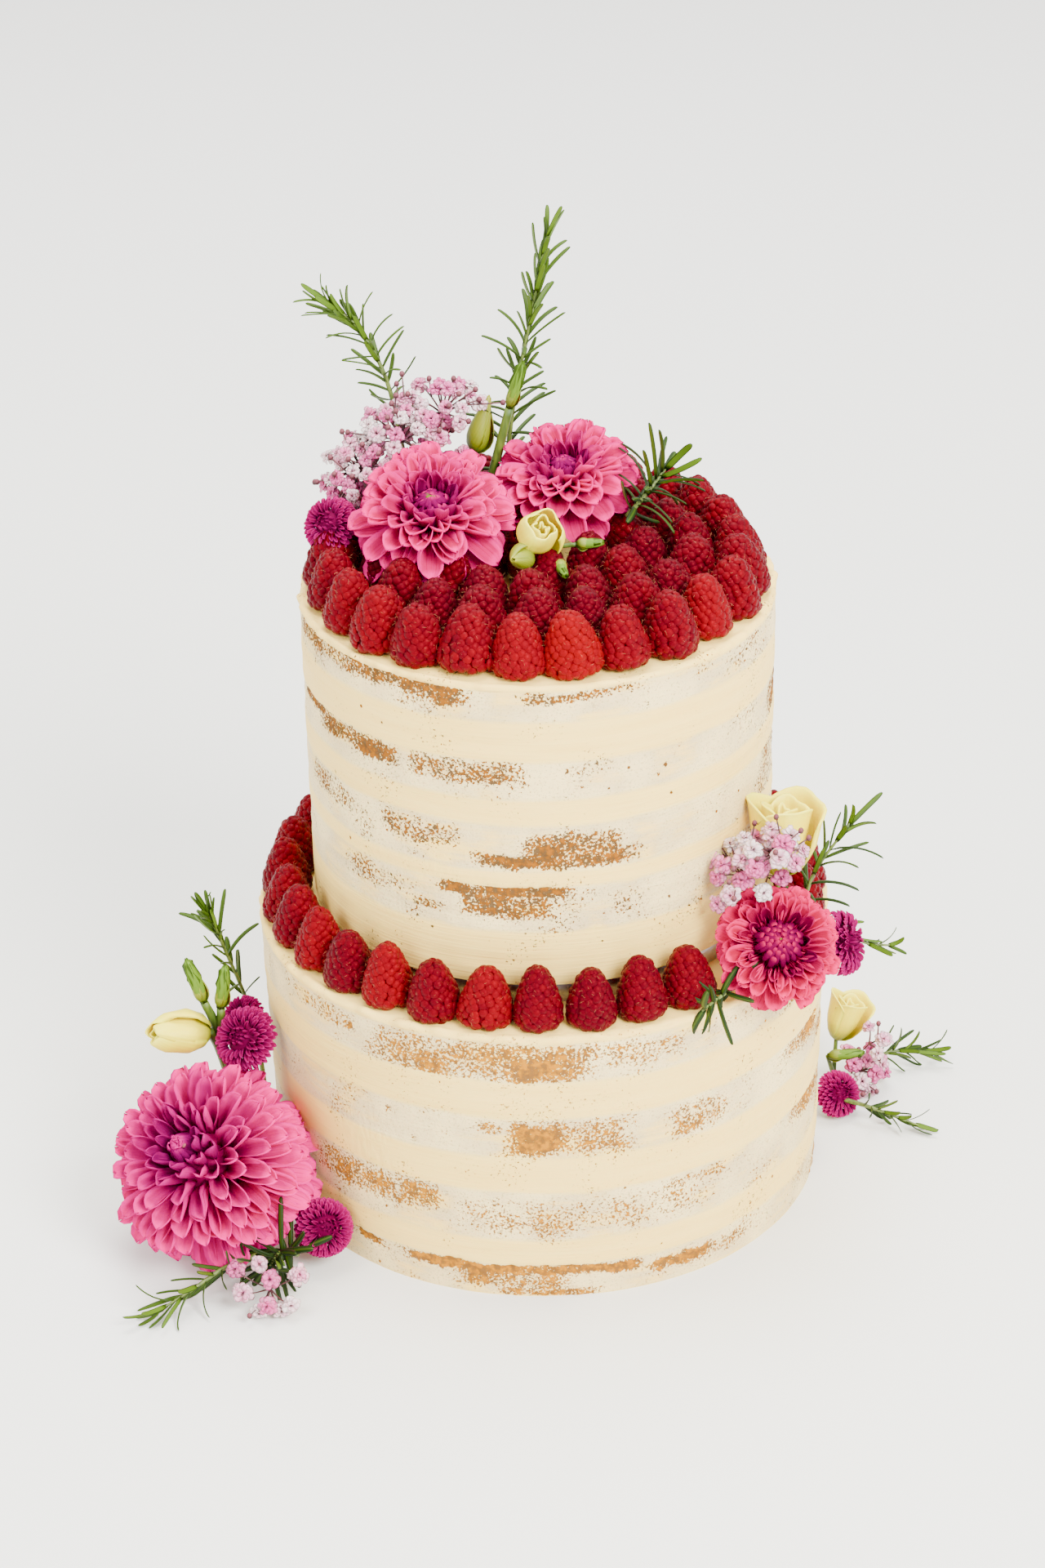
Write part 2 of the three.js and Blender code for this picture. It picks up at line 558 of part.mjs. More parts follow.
gypsophila("gypsophila_base", [-108, -96, 3], [
  { at: [-113, -114, 7], facing: [-0.1, -0.8, 0.3], spread: 16, reach: 13, count: 9, blossom: 8 },
]);

// Bouquet at the foot, behind on the right
lisianthus("lisianthus_base_right", "lisianthus", [126, 44, 2], [
  { at: [127, 47, 18], facing: [0.35, 0.1, 1], length: 22, width: 21.5, open: true },
  { at: [122, 32, 19], facing: [1, -0.1, 0.15], length: 15, width: 7.5 },
]);
pom("pom_base_right", [125, 16, 9.5], [0.5, -0.6, 0.5], 10, [128, 28, 4]);
gypsophila("gypsophila_base_right", [133, 40, 2], [
  { at: [137, 36, 8], facing: [0.5, -0.6, 0.4], spread: 13, reach: 9, count: 8, blossom: 7.5 },
  { at: [140, 33, 24], facing: [0.4, -0.4, 0.8], spread: 9, reach: 9, count: 4, blossom: 7.5 },
]);
rosemary("rosemary_base_right", [[138, 48, 4], [152, 49, 10], [170, 53, 7]],
  { count: 9, length: 16, spread: 45 });
rosemary("rosemary_base_right_low", [[136, 7, 9], [146, 3.5, 7], [159, -1, 3.5]],
  { count: 8, length: 14, spread: 42 });

ledgeBerries();
topBerries();

export default cake;
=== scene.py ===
# %% [markdown]
# # A naked cake with berries and fresh flowers
#
# Two tiers of sponge and cream, scraped on the outside so that the layers show through, with raspberries
# round the ledge and over the top, and small bunches of flowers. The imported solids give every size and
# place. This script lays the real looks over them: scraped cream, crumb, drupelets, petals and leaves.
# All lengths are in metres, so a millimetre is written as `mm`.

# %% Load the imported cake
import math
import bpy
import numpy as np
from mathutils import Matrix, Vector


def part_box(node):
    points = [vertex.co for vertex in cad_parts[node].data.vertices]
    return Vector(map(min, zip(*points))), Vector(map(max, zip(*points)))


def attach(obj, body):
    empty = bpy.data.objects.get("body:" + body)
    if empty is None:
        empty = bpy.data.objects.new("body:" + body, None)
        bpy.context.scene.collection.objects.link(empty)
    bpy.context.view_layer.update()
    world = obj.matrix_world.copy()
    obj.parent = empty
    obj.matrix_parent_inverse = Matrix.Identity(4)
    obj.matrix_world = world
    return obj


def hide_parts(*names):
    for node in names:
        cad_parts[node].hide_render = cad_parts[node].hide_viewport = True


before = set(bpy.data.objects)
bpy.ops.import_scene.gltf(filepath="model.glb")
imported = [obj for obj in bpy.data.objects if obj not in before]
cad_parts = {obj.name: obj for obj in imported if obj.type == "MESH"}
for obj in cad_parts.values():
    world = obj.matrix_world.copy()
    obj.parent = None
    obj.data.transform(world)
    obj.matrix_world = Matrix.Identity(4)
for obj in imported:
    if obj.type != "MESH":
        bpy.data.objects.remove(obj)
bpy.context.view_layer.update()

mm = 0.001

# %% [markdown]
# ## The camera
#
# The camera looks down at the front from about a metre and a half away, with a long lens, as for a food
# photograph. A long lens keeps the two tiers' rims as gentle curves. It is rolled by a little over a degree.

# %% The camera
LOOKED_AT = Vector((-7.6, 0, 172.3)) * mm
CAMERA_DISTANCE = 1471.3 * mm
CAMERA_HEIGHT_ANGLE = math.radians(27.61)
CAMERA_ROLL = math.radians(-1.30)
LENS = 83.14
SENSOR_WIDTH = 36

camera = bpy.data.objects.new("camera", bpy.data.cameras.new("camera"))
camera.data.lens = LENS
camera.data.sensor_width = SENSOR_WIDTH
back = Vector((0, -math.cos(CAMERA_HEIGHT_ANGLE), math.sin(CAMERA_HEIGHT_ANGLE)))
aim = (-back).to_track_quat("-Z", "Y").to_matrix().to_4x4() @ Matrix.Rotation(CAMERA_ROLL, 4, "Z")
camera.matrix_world = Matrix.Translation(LOOKED_AT + back * CAMERA_DISTANCE) @ aim
bpy.context.scene.collection.objects.link(camera)
bpy.context.scene.camera = camera
print("camera at", [round(c, 3) for c in camera.location])

# %% [markdown]
# ## Small helpers for nodes
#
# Materials and Geometry Nodes are both graphs of nodes. One helper adds a node, sets it up and connects
# it, so that a whole graph reads as a few short lines. The others add the nodes that are needed most often.

# %% Helpers for nodes
def add(tree, kind, inputs=None, **settings):
    """Adds a node, sets its options, then sets each input or links it to another node's output."""
    node = tree.nodes.new(kind)
    for option, value in settings.items():
        setattr(node, option, value)
    for key, value in (inputs or {}).items():
        if isinstance(value, bpy.types.NodeSocket):
            tree.links.new(value, node.inputs[key])
        else:
            node.inputs[key].default_value = value
    return node


def noise(tree, vector, scale, detail=2.0, roughness=0.5):
    settings = {"Vector": vector, "Scale": scale, "Detail": detail, "Roughness": roughness}
    return add(tree, "ShaderNodeTexNoise", settings).outputs["Fac"]


def stretch(tree, vector, scale):
    return add(tree, "ShaderNodeMapping", {"Vector": vector, "Scale": scale}).outputs["Vector"]


def between(tree, value, low, high, to_low=0.0, to_high=1.0):
    """Turns a value that runs from low to high into one that runs smoothly from to_low to to_high."""
    inputs = {"Value": value, "From Min": low, "From Max": high, "To Min": to_low, "To Max": to_high}
    return add(tree, "ShaderNodeMapRange", inputs, interpolation_type="SMOOTHSTEP").outputs["Result"]


def maths(tree, operation, a, b=0.0):
    return add(tree, "ShaderNodeMath", {0: a, 1: b}, operation=operation).outputs[0]


def plus(tree, a, b):
    return maths(tree, "ADD", a, b)


def times(tree, a, b):
    return maths(tree, "MULTIPLY", a, b)


print("node helpers ready")

# %% [markdown]
# A material starts from the shader that Blender gives it. What is the same all over is set on the shader
# as it stands, and what varies over the piece is worked out by nodes and linked to it.

# %% Helpers for materials
def colour(code):
    """A screen colour such as "f3e8d0" as the linear values that a shader works in."""
    shares = [int(code[i:i + 2], 16) / 255 for i in (0, 2, 4)]
    return tuple(s / 12.92 if s < 0.04045 else ((s + 0.055) / 1.055) ** 2.4 for s in shares) + (1.0,)


def mixed(tree, share, first, second):
    return add(tree, "ShaderNodeMix", {0: share, 6: first, 7: second}, data_type="RGBA").outputs[2]


def attribute(tree, name):
    return add(tree, "ShaderNodeAttribute", attribute_name=name).outputs["Fac"]


def own_place(tree):
    """The place on the piece, in metres from its origin."""
    return add(tree, "ShaderNodeTexCoord").outputs["Object"]


def bump(tree, height, strength, distance):
    inputs = {"Height": height, "Strength": strength, "Distance": distance}
    return add(tree, "ShaderNodeBump", inputs).outputs["Normal"]


def new_material(name, **constants):
    """A material with its Principled shader ready, and the values that are the same all over set on it."""
    material = bpy.data.materials.new(name)
    material.use_nodes = True
    shader = material.node_tree.nodes["Principled BSDF"]
    for key, value in constants.items():
        shader.inputs[key.replace("_", " ")].default_value = value
    return material, material.node_tree, shader


def feed(shader, **results):
    """Links each result to the shader's input of that name."""
    for key, result in results.items():
        shader.id_data.links.new(result, shader.inputs[key.replace("_", " ")])


print("a middle grey is", [round(share, 3) for share in colour("808080")])

# %% [markdown]
# ## Floor and light
#
# The cake stands on a plain pale floor, painted whiter far away as painted light. The main light is a big
# soft box over the camera's right shoulder, with a fainter one on the left and one above. So the right side
# stays bright, the left side falls off a little, and the shadows are soft.

# %% Floor
FLOOR_RADIUS, FLOOR_CORNERS = 6.0, 96
# The far colour is painted light: the floor is painted whiter further from the cake.
NEAR_FLOOR, FAR_FLOOR_PAINTED_LIGHT = colour("e9eae6"), colour("fdfdfc")
FADE_STARTS, FADE_ENDS = 0.3, 1.7


def floor_material():
    material, tree, shader = new_material("pale floor", Roughness=0.6)
    place = own_place(tree)
    distance = add(tree, "ShaderNodeVectorMath", {0: place}, operation="LENGTH").outputs["Value"]
    uneven = plus(tree, distance, times(tree, noise(tree, place, 4.0), 0.1))
    # Painted light: from here on the floor turns whiter with distance.
    fade = between(tree, uneven, FADE_STARTS, FADE_ENDS)
    feed(shader, Base_Color=mixed(tree, fade, NEAR_FLOOR, FAR_FLOOR_PAINTED_LIGHT))
    return material


def make_floor():
    angles = np.linspace(0, 2 * math.pi, FLOOR_CORNERS, endpoint=False)
    corners = [(FLOOR_RADIUS * math.cos(a), FLOOR_RADIUS * math.sin(a), 0) for a in angles]
    mesh = bpy.data.meshes.new("floor")
    mesh.from_pydata(corners, [], [range(FLOOR_CORNERS)])
    floor = bpy.data.objects.new("floor", mesh)
    floor.data.materials.append(floor_material())
    bpy.context.scene.collection.objects.link(floor)
    return floor


floor = make_floor()
print("floor made")

# %% Light
WARM_WHITE = (1.0, 0.985, 0.95)
LIT_POINT = Vector((0, 0, 0.18))
SURROUND_STRENGTH = 1.69


def soft_box(name, place, size, watts):
    light = bpy.data.objects.new(name, bpy.data.lights.new(name, "AREA"))
    light.data.shape = "DISK"
    light.data.size = size
    light.data.energy = watts
    light.data.color = WARM_WHITE
    light.location = place
    light.rotation_euler = (LIT_POINT - Vector(place)).to_track_quat("-Z", "Y").to_euler()
    bpy.context.scene.collection.objects.link(light)


soft_box("key light", (1.0, -1.5, 1.55), 1.1, 140)
soft_box("fill light", (-1.4, -1.0, 1.1), 1.2, 25)
soft_box("top light", (0.0, 0.4, 2.0), 1.3, 65)
world = bpy.data.worlds.new("studio")
world.use_nodes = True
surround = world.node_tree.nodes["Background"]
surround.inputs["Color"].default_value = (*WARM_WHITE, 1)
surround.inputs["Strength"].default_value = SURROUND_STRENGTH
bpy.context.scene.world = world
print("three soft boxes and a pale surround")

# %% [markdown]
# ## Helpers for meshes
#
# Every piece ends as a plain mesh that sits at the origin. `cloud` is smooth noise worked out at points in
# space, which makes surfaces uneven in the same way wherever two pieces meet.

# %% Smooth noise
def cloud(points, lump, seed):
    """Smooth noise from 0 to 1 at many points, with lumps about this wide."""
    scaled = points / lump + 37.7 * (seed + 1)
    cell = np.floor(scaled).astype(np.int64)
    share = scaled - cell
    share = share * share * (3 - 2 * share)
    total = np.zeros(len(points))
    for corner in range(8):
        step = np.array([corner & 1, corner >> 1 & 1, corner >> 2 & 1])
        x, y, z = (cell + step).T
        # Multiplying by large odd numbers scatters the three whole numbers of a cell's corner
        mix = (x * 73856093) ^ (y * 19349663) ^ (z * 83492791)
        mix = (mix ^ (mix >> 13)) * 1274126177 & 0x7FFFFFFF
        weight = np.where(step, share, 1 - share).prod(axis=1)
        total += weight * ((mix ^ (mix >> 16)) % 65536) / 65535
    return total


print("noise at the origin", cloud(np.zeros((1, 3)), mm, 0).round(3))

# %% Meshes
def new_mesh(name, vertices, faces):
    mesh = bpy.data.meshes.new(name)
    mesh.from_pydata(np.asarray(vertices).tolist(), [], [list(map(int, f)) for f in faces])
    mesh.polygons.foreach_set("use_smooth", [True] * len(mesh.polygons))
    return mesh


def give(mesh, name, values, kind="FLOAT"):
    """Stores one value for each vertex under a name that materials and Geometry Nodes can read."""
    field = {"FLOAT": "value", "INT": "value", "FLOAT_VECTOR": "vector"}[kind]
    mesh.attributes.new(name, kind, "POINT").data.foreach_set(field, np.ravel(values))


def ring_grid(rows, around):
    """Faces between rows of vertices that close into rings, from the lowest row up."""
    here = np.arange(around)
    after = (here + 1) % around
    lowest = np.stack([here, after, around + after, around + here], axis=1)
    return np.concatenate([lowest + row * around for row in range(rows - 1)])


def closed_rings(rows, around):
    """The same faces, closed below and above by fans to two middle points that come after the rings."""
    faces = ring_grid(rows, around).tolist()
    last = (rows - 1) * around
    for k in range(around):
        after = (k + 1) % around
        faces += [(last + around, after, k), (last + around + 1, last + k, last + after)]
    return faces


print("mesh helpers ready")

# %% Pieces
# What would go through the floor is pressed flat from the first height on, and stays above the second
SOFT_FOOT, LOWEST = 4 * mm, 0.4 * mm


def place_in_scene(name, mesh, material=None):
    piece = bpy.data.objects.new(name, mesh)
    if material:
        mesh.materials.append(material)
    bpy.context.scene.collection.objects.link(piece)
    return piece


def rest_on_floor(mesh):
    """Presses anything that would go through the floor flat against it."""
    points = np.zeros(3 * len(mesh.vertices))
    mesh.vertices.foreach_get("co", points)
    z = points[2::3]
    room = SOFT_FOOT - LOWEST
    pressed = z < SOFT_FOOT
    z[pressed] = LOWEST + room * np.exp((z[pressed] - SOFT_FOOT) / room)
    mesh.vertices.foreach_set("co", points)
    mesh.update()


def keep(piece, slot, *nodes):
    """Hands a finished piece to the frame: it rides on the cake and stands for these solids."""
    if slot not in ("cream", "sponge"):
        rest_on_floor(piece.data)
    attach(piece, "root")
    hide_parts(*nodes)
    print(piece.name, len(piece.data.polygons), "faces")


print("piece helpers ready")

# %% [markdown]
# ## The tiers
#
# Each tier is a stack of sponge and cream. Buttercream is spread thinly all round and then scraped off
# with a straight edge: it stays thick against the cream layers, turns to a thin greyish film over the
# sponge, and is gone where the sponge stands proud, so that golden crumb shows.
#
# One rule gives the wall's height everywhere, so that neighbouring layers meet without a seam. The same
# rule says where sponge lies behind the coat and where the sponge is bare. These become attributes for
# the material. The bare places are listed, as an angle round the tier and a height on it.

# %% Sizes of the tiers
GRID = 1.0 * mm
RIM_ROUND = 2.6 * mm
COAT = 0.25 * mm
LAYERS = ["cream_top"] + [f"{kind}_{number}" for number in (1, 2, 3, 4) for kind in ("sponge", "cream")]


def read_tier(name, layers):
    """A tier's sizes and its layers' heights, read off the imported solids."""
    low = {layer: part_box(f"{name}_{layer}")[0] for layer in layers}
    high = {layer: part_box(f"{name}_{layer}")[1] for layer in layers}
    lowest = layers[-1]
    top_box_low, top_box_high = low["cream_top"], high["cream_top"]
    return {
        "name": name,
        "layers": [(layer, low[layer].z, high[layer].z) for layer in layers],
        "foot": low[lowest].z,
        "top": top_box_high.z,
        "foot_radius": (high[lowest].x - low[lowest].x) / 2,
        "rim_radius": (top_box_high.x - top_box_low.x) / 2,
        "set_back": (top_box_high.y + top_box_low.y) / 2,
    }


# The lower tier stands on its fourth sponge, and the upper one on a fourth layer of cream
lower, upper = read_tier("lower", LAYERS[:-1]), read_tier("upper", LAYERS)
for tier in (lower, upper):
    print(tier["name"], "tier", round(tier["rim_radius"] / mm, 1), "mm radius, top at",
          round(tier["top"] / mm, 1))

# %% Where the sponge is bare
# Each patch: first and last angle in degrees, height and half its depth in mm, and how bare it is
UPPER_PATCHES = [
    (-173, -104, 256.0, 4.5, 0.62), (-140, -112, 256.5, 3.5, 0.95), (-98, -64, 256.3, 2.6, 0.62),
    (-172, -150, 227.0, 2.4, 0.95), (-158, -123, 224.0, 4.6, 0.86), (-126, -91, 223.5, 6.5, 0.55),
    (-62.8, -60.8, 216.6, 1.6, 1.0), (-85.4, -83.4, 223.9, 1.4, 0.9), (-60.8, -59.2, 221.5, 1.4, 0.9),
    (-50.3, -48.2, 155.0, 1.8, 1.0), (-167, -140, 195.5, 5.5, 0.5), (-134, -107, 194.5, 6.0, 0.5),
    (-110, -64, 186.0, 4.0, 0.85), (-98, -68, 192.5, 6.0, 0.66), (-96, -79, 190.5, 3.6, 1.1),
    (-119, -82, 172.8, 3.4, 0.95), (-113, -85, 167.0, 6.5, 0.68), (-124, -112, 163.0, 2.4, 0.6),
    (-150, -118, 168.0, 5.0, 0.3), (-77, -64, 165.0, 6.0, 0.4),
]
LOWER_PATCHES = [
    (-152, -128, 113.5, 4.5, 0.5), (-129, -78, 110.0, 9.5, 0.62), (-121, -84, 108.5, 6.5, 0.7),
    (-134, -130, 112.5, 2.4, 0.85), (-82, -60, 112.0, 5.5, 0.5), (-107, -98, 80.5, 3.0, 0.6),
    (-101, -72, 76.0, 8.0, 0.66), (-69, -50, 75.0, 7.0, 0.62), (-124.6, -122.2, 79.1, 1.4, 1.0),
    (-118.6, -117.0, 68.5, 1.2, 1.0), (-148, -119, 41.0, 8.0, 0.48), (-125, -109, 42.0, 7.0, 0.5),
    (-123, -121, 36.8, 1.4, 1.0), (-112, -52, 38.5, 9.0, 0.32), (-70, -50, 46.0, 3.0, 0.5),
    (-137, -124, 12.8, 2.2, 1.0), (-123, -70, 12.4, 3.0, 1.1), (-72, -52, 9.0, 3.0, 0.85),
    (-113, -84, 7.5, 5.5, 0.72), (-104, -78, 1.6, 2.0, 0.75), (-66, -40, 8.0, 4.0, 0.4),
]


def ease(value, low, high):
    share = np.clip((value - low) / (high - low), 0, 1)
    return share * share * (3 - 2 * share)


def sponge_behind(tier, points):
    """1 where a sponge layer lies behind the coat, with a wandering soft edge."""
    z = points[:, 2] + 1.2 * mm * (cloud(points, 14 * mm, 5) - 0.5)
    edge = 0.9 * mm
    mask = np.zeros(len(points))
    for layer, low, high in tier["layers"]:
        if layer.startswith("sponge"):
            mask += ease(z, low - edge, low + edge) * (1 - ease(z, high - edge, high + edge))
    return mask


def bareness(tier, points, angles):
    """How bare the sponge is: the listed patches in front, and patches by noise round the back."""
    degrees = np.degrees(angles)
    wander = cloud(points, 9 * mm, 2)
    fine = cloud(points, 3.5 * mm, 3)
    z = points[:, 2] / mm + 3.0 * (wander - 0.5) + 2.0 * (fine - 0.5)
    bare = np.zeros(len(points))
    for start, end, height, half, strength in UPPER_PATCHES if tier is upper else LOWER_PATCHES:
        fade = min(6.0, (end - start) / 2)
        along = ease(degrees, start, start + fade) * (1 - ease(degrees, end - fade, end))
        across = 1 - ease(np.abs(z - height), half * 0.45, half * 1.25)
        bare = np.maximum(bare, strength * along * across * (0.55 + 0.75 * wander))
    # The back begins at the left side, and on the right a little before it
    at_back = ease(degrees, -48, -20) + (1 - ease(degrees, -178, -172)) * (degrees < 0)
    at_back = np.where(degrees > 0, 1.0, at_back)
    patchy = ease(cloud(points * [1, 1, 2.4], 42 * mm, 8), 0.55, 0.85)
    return np.maximum(bare, 0.75 * patchy * at_back * sponge_behind(tier, points) * (0.5 + wander))


print(len(UPPER_PATCHES) + len(LOWER_PATCHES), "bare patches at the front")

# %% [markdown]
# The coat's relief adds up several things: a slow unevenness from the hand, long thin ridges from the
# scraper, a film that is thinner and finely uneven over sponge, pits where the sponge is bare, and a rough
# lip along the rim, where the scraper leaves the cream torn. They are added along the surface's normal.

# %% The coat's relief
def relief(points, sponge, bare, rim):
    slow = 1.0 * mm * (cloud(points, 48 * mm, 1) - 0.5)
    scraped = 0.5 * mm * (cloud(points * [1, 1, 9], 34 * mm, 4) - 0.5)
    film = sponge * (0.16 * mm * (cloud(points, 2.4 * mm, 6) - 0.5) - 0.22 * mm)
    pits = np.minimum(bare, 1) * (1.3 * mm * (cloud(points, 2.1 * mm, 7) - 0.5) - 0.55 * mm)
    lip = rim * mm * (3.6 * cloud(points * [1, 1, 2], 5 * mm, 8) - 1.2)
    return COAT + slow + scraped + film + pits + lip


def wall_profile(tier, low, high):
    """Rows up a straight wall: radius, height, and how far the surface faces out and up."""
    count = max(2, round((high - low) / GRID) + 1)
    heights = np.linspace(low, high, count)
    share = (heights - tier["foot"]) / (tier["top"] - tier["foot"])
    radii = tier["foot_radius"] + share * (tier["rim_radius"] - tier["foot_radius"])
    return [(r, z, 1.0, 0.0) for r, z in zip(radii, heights)]


def top_profile(tier, low):
    """The topmost layer: a little wall, the rounded rim, and the flat top to the middle."""
    rim_low = max(low, tier["top"] - RIM_ROUND)
    rows = wall_profile(tier, low, rim_low) if rim_low > low else wall_profile(tier, low, low + GRID)[:1]
    inner = tier["rim_radius"] - RIM_ROUND
    for turn in np.radians([15, 30, 45, 60, 75, 90]):
        z = rim_low + (tier["top"] - rim_low) * math.sin(turn)
        rows.append((inner + RIM_ROUND * math.cos(turn), z, math.cos(turn), math.sin(turn)))
    fine = np.arange(inner - GRID, inner - 36 * mm, -1.3 * GRID)
    coarse = np.linspace(fine[-1] - 4 * mm, 4 * mm, 8)
    return rows + [(r, tier["top"], 0.0, 1.0) for r in np.concatenate([fine, coarse])]


def coat_surface(tier, rows, around):
    """The coat's points, ring by ring, with how much sponge lies behind each and how bare it is."""
    angles = np.tile(np.linspace(-math.pi, math.pi, around, endpoint=False), len(rows))
    radius, height, out, up = (np.repeat(column, around) for column in zip(*rows))
    ring = np.stack([np.cos(angles), np.sin(angles), np.zeros_like(angles)], axis=1)
    points = ring * radius[:, None]
    points[:, 2] = height
    sponge = sponge_behind(tier, points) * out
    bare = bareness(tier, points, angles) * ease(out, 0.2, 0.9)
    normal = ring * out[:, None]
    normal[:, 2] = up
    placed = points + normal * relief(points, sponge, bare, 2 * out * up)[:, None]
    placed[:, 1] += tier["set_back"]
    return placed, sponge, bare


print("the upper rim has", len(top_profile(upper, upper["layers"][0][1])), "rows")

# %% A layer
def unroll(mesh, rows, around, radius, placed):
    """A UV map in metres: the distance round the wall, and the height on it."""
    corners = np.zeros(len(mesh.loops), dtype=np.int64)
    mesh.loops.foreach_get("vertex_index", corners)
    u = (corners % around) / around * 2 * math.pi * radius
    quads = (rows - 1) * around
    first = np.tile([0, 1, 1, 0], quads) * 1.0
    column = np.repeat(np.tile(np.arange(around), rows - 1), 4) + first
    u[:quads * 4] = column / around * 2 * math.pi * radius
    uv = np.stack([u, placed[corners, 2]], axis=1)
    mesh.uv_layers.new(name="wall").data.foreach_set("uv", uv.ravel())


def mark_sharp_ends(mesh, rows, around, is_top):
    """Marks where the flat ends meet the wall as sharp, so that the wall stays smooth up to its edge."""
    ends = np.zeros(2 * len(mesh.edges), dtype=np.int64)
    mesh.edges.foreach_get("vertices", ends)
    ends = ends.reshape(-1, 2)
    last = (rows - 1) * around
    sharp = (ends < around).all(axis=1)
    if not is_top:
        sharp |= ((ends >= last) & (ends < last + around)).all(axis=1)
    mesh.attributes.new("sharp_edge", "BOOLEAN", "EDGE").data.foreach_set("value", sharp)


def make_layer(tier, layer, low, high, material):
    """One layer as a closed disc with a finely made outside."""
    name, is_top = f"{tier['name']}_{layer}", layer == "cream_top"
    rows = top_profile(tier, low) if is_top else wall_profile(tier, low, high)
    around = round(2 * math.pi * tier["rim_radius"] / GRID)
    placed, sponge, bare = coat_surface(tier, rows, around)
    placed[:around, 2] = low
    middles = [[0, tier["set_back"], low], [0, tier["set_back"], rows[-1][1]]]
    placed = np.concatenate([placed, middles])
    mesh = new_mesh(name + "_coat", placed, closed_rings(len(rows), around))
    give(mesh, "sponge", np.append(sponge, [0, 0]))
    give(mesh, "bare", np.append(bare, [0, 0]))
    unroll(mesh, len(rows), around, tier["rim_radius"], placed)
    mark_sharp_ends(mesh, len(rows), around, is_top)
    keep(place_in_scene(name + "_coat", mesh, material), layer.split("_")[0], name)


print("layers are set out every", GRID / mm, "mm")

# %% [markdown]
# ## Scraped buttercream
#
# One material covers every layer. Over cream it is thick and ivory. Over sponge the film is thin, so it
# turns greyer in places and is finely specked. Where the coat is bare, fine noise against the patch's
# bareness breaks the edge into crumbs and flecks, which are brown, rough and a little sunk. Single crumbs
# lie in the coat all over, and soft dabs and ridges from the scraper catch the light. A painted picture
# could show the same, but noise needs no picture and stays sharp from close by.

# %% The group that breaks a soft mask into flecks
FLECK_SCALE = 900.0


def flecks_group():
    group = bpy.data.node_groups.new("Flecks", "ShaderNodeTree")
    face = group.interface
    face.new_socket("Vector", in_out="INPUT", socket_type="NodeSocketVector")
    face.new_socket("Amount", in_out="INPUT", socket_type="NodeSocketFloat")
    face.new_socket("Scale", in_out="INPUT", socket_type="NodeSocketFloat")
    face.new_socket("Mask", in_out="OUTPUT", socket_type="NodeSocketFloat")
    start = group.nodes.new("NodeGroupInput").outputs
    end = group.nodes.new("NodeGroupOutput")
    grain = noise(group, start["Vector"], start["Scale"], detail=3.0, roughness=0.6)
    spread = between(group, grain, 0.28, 0.72)
    limit = maths(group, "SUBTRACT", 1.02, start["Amount"])
    over = maths(group, "SUBTRACT", spread, limit)
    group.links.new(between(group, over, -0.04, 0.08), end.inputs["Mask"])
    return group


flecks = flecks_group()
print("the fleck group has", len(flecks.nodes), "nodes")

# %% The coat's colours and its crumbs
CREAM = colour("f6cb66"), colour("fcdb80")
FILM = colour("d2ba8a"), colour("f4da9a")
FILM_SPECK, STAIN = colour("9c8258"), colour("d8a448")
LOWER_CRUMB = colour("6c3e00"), colour("b47400")
UPPER_CRUMB = colour("422404"), colour("8c5200")


def coat_colour(tree, place, unrolled, sponge, bare):
    """Thick cream, and over sponge a specked film, which is stained where it is nearly bare."""
    smear = noise(tree, stretch(tree, unrolled, (22, 260, 1)), 1.0, detail=4.0)
    soft = noise(tree, place, 38.0)
    streaks = noise(tree, stretch(tree, unrolled, (20, 130, 1)), 1.0, detail=6.0, roughness=0.65)
    specks = between(tree, noise(tree, place, 1300.0), 0.56, 0.7, 0.0, 0.55)
    film = mixed(tree, specks, mixed(tree, between(tree, soft, 0.3, 0.7), *FILM), FILM_SPECK)
    worn = plus(tree, times(tree, soft, 0.5), times(tree, streaks, 0.5))
    thin = times(tree, sponge, between(tree, worn, 0.36, 0.5))
    coat = mixed(tree, thin, mixed(tree, smear, *CREAM), film)
    stain = times(tree, between(tree, bare, 0.25, 1.0, 0.0, 0.6), between(tree, streaks, 0.3, 0.6))
    return mixed(tree, stain, coat, STAIN)


def crumb_mask(tree, place, sponge, bare):
    """1 on a crumb. Flecks crowd where the sponge is bare, and stray ones and single crumbs lie all over."""
    patchy = between(tree, noise(tree, place, 55.0, detail=1.0), 0.45, 0.75)
    stray = times(tree, patchy, between(tree, sponge, 0.0, 1.0, 0.17, 0.3))
    crowded = times(tree, bare, between(tree, sponge, 0.3, 0.6))
    inputs = {"Vector": place, "Amount": plus(tree, crowded, stray), "Scale": FLECK_SCALE}
    strewn = add(tree, "ShaderNodeGroup", inputs, node_tree=flecks).outputs["Mask"]
    spots = add(tree, "ShaderNodeTexVoronoi", {"Vector": place, "Scale": 75.0}).outputs["Distance"]
    ragged = plus(tree, spots, times(tree, noise(tree, place, 900.0), 0.07))
    return maths(tree, "MAXIMUM", strewn, between(tree, ragged, 0.07, 0.09, 1.0, 0.0))


def crumb_colour(tree, place, tint):
    """Golden crumb on the lower tier, and browner crumb on the upper."""
    shade = between(tree, tint, 0.35, 0.65)
    level = add(tree, "ShaderNodeSeparateXYZ", {"Vector": place}).outputs["Z"]
    tiers = between(tree, level, 0.12, 0.14)
    return mixed(tree, tiers, mixed(tree, shade, *LOWER_CRUMB), mixed(tree, shade, *UPPER_CRUMB))


print("coat and crumb colours ready")

